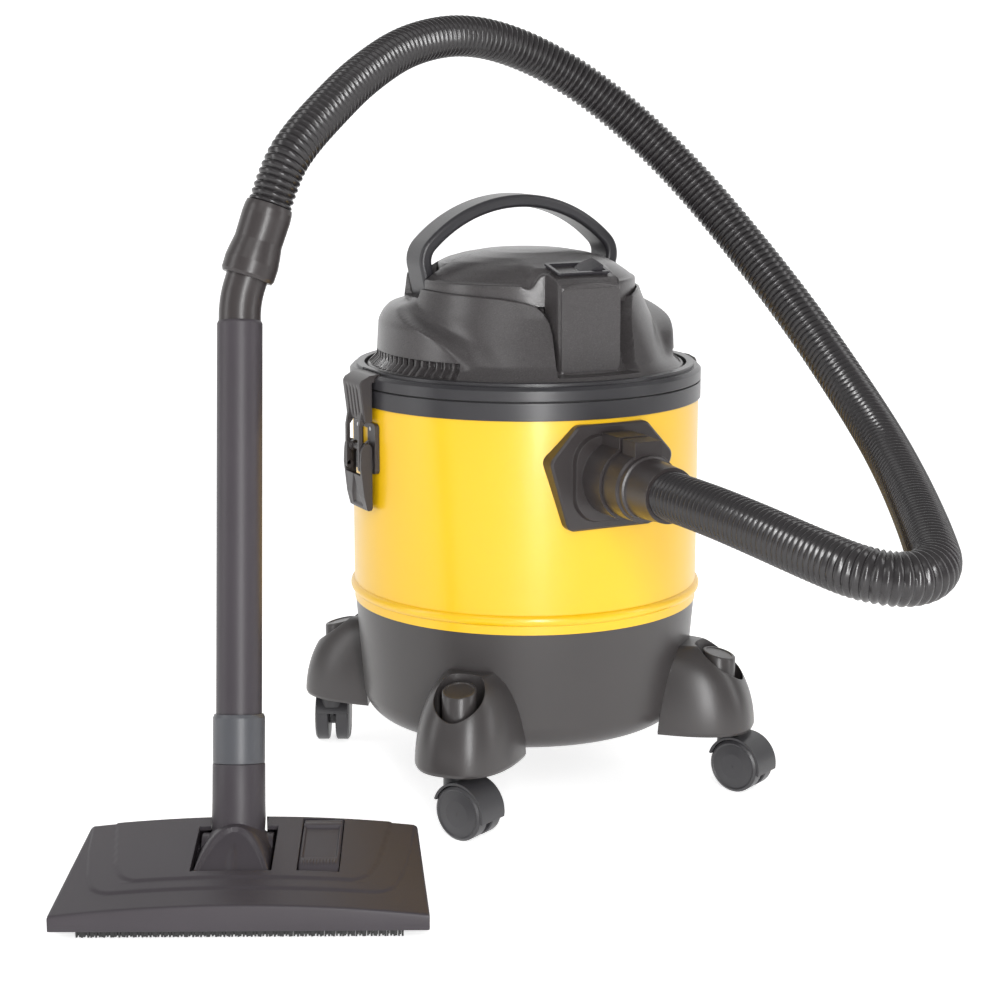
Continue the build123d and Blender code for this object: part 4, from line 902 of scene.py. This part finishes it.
bristles = ([], [])
for row, y in enumerate(BRISTLE_ROWS):
    for k in range(TUFTS):
        x = SHIFT - BRUSH_LENGTH / 2 + BRUSH_LENGTH * k / (TUFTS - 1)
        tip = 0.5 + 0.6 * (0.5 + 0.5 * math.sin(2.4 * k + row)) ** 2
        lean_by = 0.5 * math.sin(1.7 * k + 2 * row)
        at = len(bristles[0])
        for z, wide_by, shift_by in ((tip, 0.75, lean_by), (8.0, 1.05, 0.0)):
            for dx, dy in ((-1, -1), (1, -1), (1, 1), (-1, 1)):
                bristles[0].append(foot(x + dx * wide_by + shift_by, y + dy * 1.3, z))
        bristles[1].extend([(at, at + 3, at + 2, at + 1), (at + 4, at + 5, at + 6, at + 7)])
        for i in range(4):
            bristles[1].append((at + i, at + (i + 1) % 4, at + 4 + (i + 1) % 4, at + 4 + i))
brush = mesh_object("bristle_rows", *bristles, smooth=False)
finish_piece(brush, "brush", "bristle_nylon", NYLON, "brush_bristles")

# ---------------------------------------------------------------- feet

FOOT_HALF, FOOT_BACK, FOOT_REACH = 48.0, 145.0, 83.0
FOOT_POWER = 2.6
FOOT_LOW, FOOT_SPAN = 58.0, 86.0
BELL_RIM = 1.2                         # the rim's edge is drawn in by this
CORNERS = {"front_left": -135.0, "front_right": -45.0, "rear_right": 45.0, "rear_left": 135.0}
FRONT_STEPS, BACK_STEPS = 72, 16
PEG_AT = 194.0
PEG_TOP, PEG_SLOPE = 130.0, 4.0        # the peg's top falls outward by one in this
# Rings from the bottom up, as (radius, height).
BOWL_LINE = ((0, 94), (21, 94), (22.6, 95.5), (23, 98), (23, 160), (0, 160))
PEG_R, PEG_FOOT = 15.5, 93.8
# Rings over the peg's foot, as (radius, height over the sloping top).
PEG_LINE = ((15.5, -0.9), (15.1, -0.35), (14.2, 0.0), (12.8, 0.0), (12.4, -0.8), (0.01, -0.8))


def drum_radius(z):
    """Outside of the drum's base, which the feet run into."""
    return 154.4 + (z - 60) * 9 / 115


def foot_edge(z, turn):
    """A point of the foot's outline at a height: across and out from the drum's axis."""
    k = 1 - ((z - FOOT_LOW) / FOOT_SPAN) ** 2
    y = math.copysign(FOOT_HALF * (k * math.sin(turn) ** 2) ** (1 / FOOT_POWER), math.sin(turn))
    reach = FOOT_BACK + FOOT_REACH * (k * math.cos(turn) ** 2) ** (1 / FOOT_POWER)
    return y, max(reach, math.sqrt(drum_radius(z) ** 2 - y ** 2))


def bell_ring(z):
    """The foot's outline at a height: round the front from side to side, then back along the drum."""
    shrink = BELL_RIM * (1 - smoothstep(z, 58, 61))
    line = []
    for k in range(FRONT_STEPS + 1):
        y, reach = foot_edge(z, math.radians(-90 + 180 * k / FRONT_STEPS))
        line.append((y * (1 - shrink / FOOT_HALF), reach - shrink * (1 if reach > 170 else 0)))
    y_end = line[-1][0]
    for k in range(1, BACK_STEPS):
        y = y_end * (1 - 2 * k / BACK_STEPS)
        line.append((y, math.sqrt(drum_radius(z) ** 2 - y ** 2) - 0.4))
    return line


def bell_shape(place):
    """The foot's solid bell."""
    bell = ([], [])
    levels = spans((FOOT_LOW, 62, 1.0), (62, 138.4, 2.0))
    add_rings(bell, [[place(reach, y, z) for y, reach in bell_ring(z)] for z in levels])
    count = FRONT_STEPS + BACK_STEPS
    add_ends(bell, 0, (len(levels) - 1) * count, count, flip=True)
    return bell


def bowl_shape(place):
    """The space round the parking peg, to cut from the bell."""
    bowl = ([], [])
    add_rings(bowl, [[place(a, b, z) for a, b in disc(PEG_AT, 0, radius, 64)] for radius, z in BOWL_LINE])
    return bowl


def peg_shape(place):
    """The upright parking peg, with a rounded edge and a sunk, sloping top."""
    peg = ([], [])
    steps = 48
    rings = [[place(PEG_AT + a, b, PEG_FOOT) for a, b in disc(0, 0, PEG_R, steps)]]
    for radius, over in PEG_LINE:
        rings.append([place(PEG_AT + a, b, PEG_TOP - a / PEG_SLOPE + over) for a, b in disc(0, 0, radius, steps)])
    add_rings(peg, rings)
    peg[1].append(tuple(reversed(range(steps))))
    return peg


def carve(obj, cutter):
    """Cut one mesh out of another, and remove the cutter."""
    cut = obj.modifiers.new("bowl", "BOOLEAN")
    cut.operation = "DIFFERENCE"
    cut.solver = "EXACT"
    cut.object = cutter
    bpy.context.view_layer.update()
    carved = bpy.data.meshes.new_from_object(obj.evaluated_get(bpy.context.evaluated_depsgraph_get()))
    obj.modifiers.clear()
    obj.data = carved
    bpy.data.objects.remove(cutter)


def join(obj, other):
    """Add another object's mesh to this one, and remove the other."""
    bm = bmesh.new()
    bm.from_mesh(obj.data)
    bm.from_mesh(other.data)
    bm.to_mesh(obj.data)
    bm.free()
    bpy.data.objects.remove(other)
    for polygon in obj.data.polygons:
        polygon.use_smooth = True


for corner, azimuth in CORNERS.items():
    out_dir = Vector((math.cos(math.radians(azimuth)), math.sin(math.radians(azimuth)), 0))
    side_dir = Vector((-out_dir.y, out_dir.x, 0))

    def foot_place(a, depth, b, out_dir=out_dir, side_dir=side_dir):
        """A point of this corner's foot: out from the axis, across the foot and up."""
        return AXIS + (out_dir * a + side_dir * depth + Vector((0, 0, b))) / 1000

    bell = close_seams(mesh_object(f"foot_bell_{corner}", *bell_shape(foot_place)), 40)
    carve(bell, close_seams(mesh_object("cutter", *bowl_shape(foot_place)), 40))
    peg = close_seams(mesh_object(f"foot_peg_{corner}", *peg_shape(foot_place)), 40)
    join(close_seams(bell, 40), peg)
    finish_piece(bell, "tank", "base_plastic", CHAR, f"foot_{corner}")
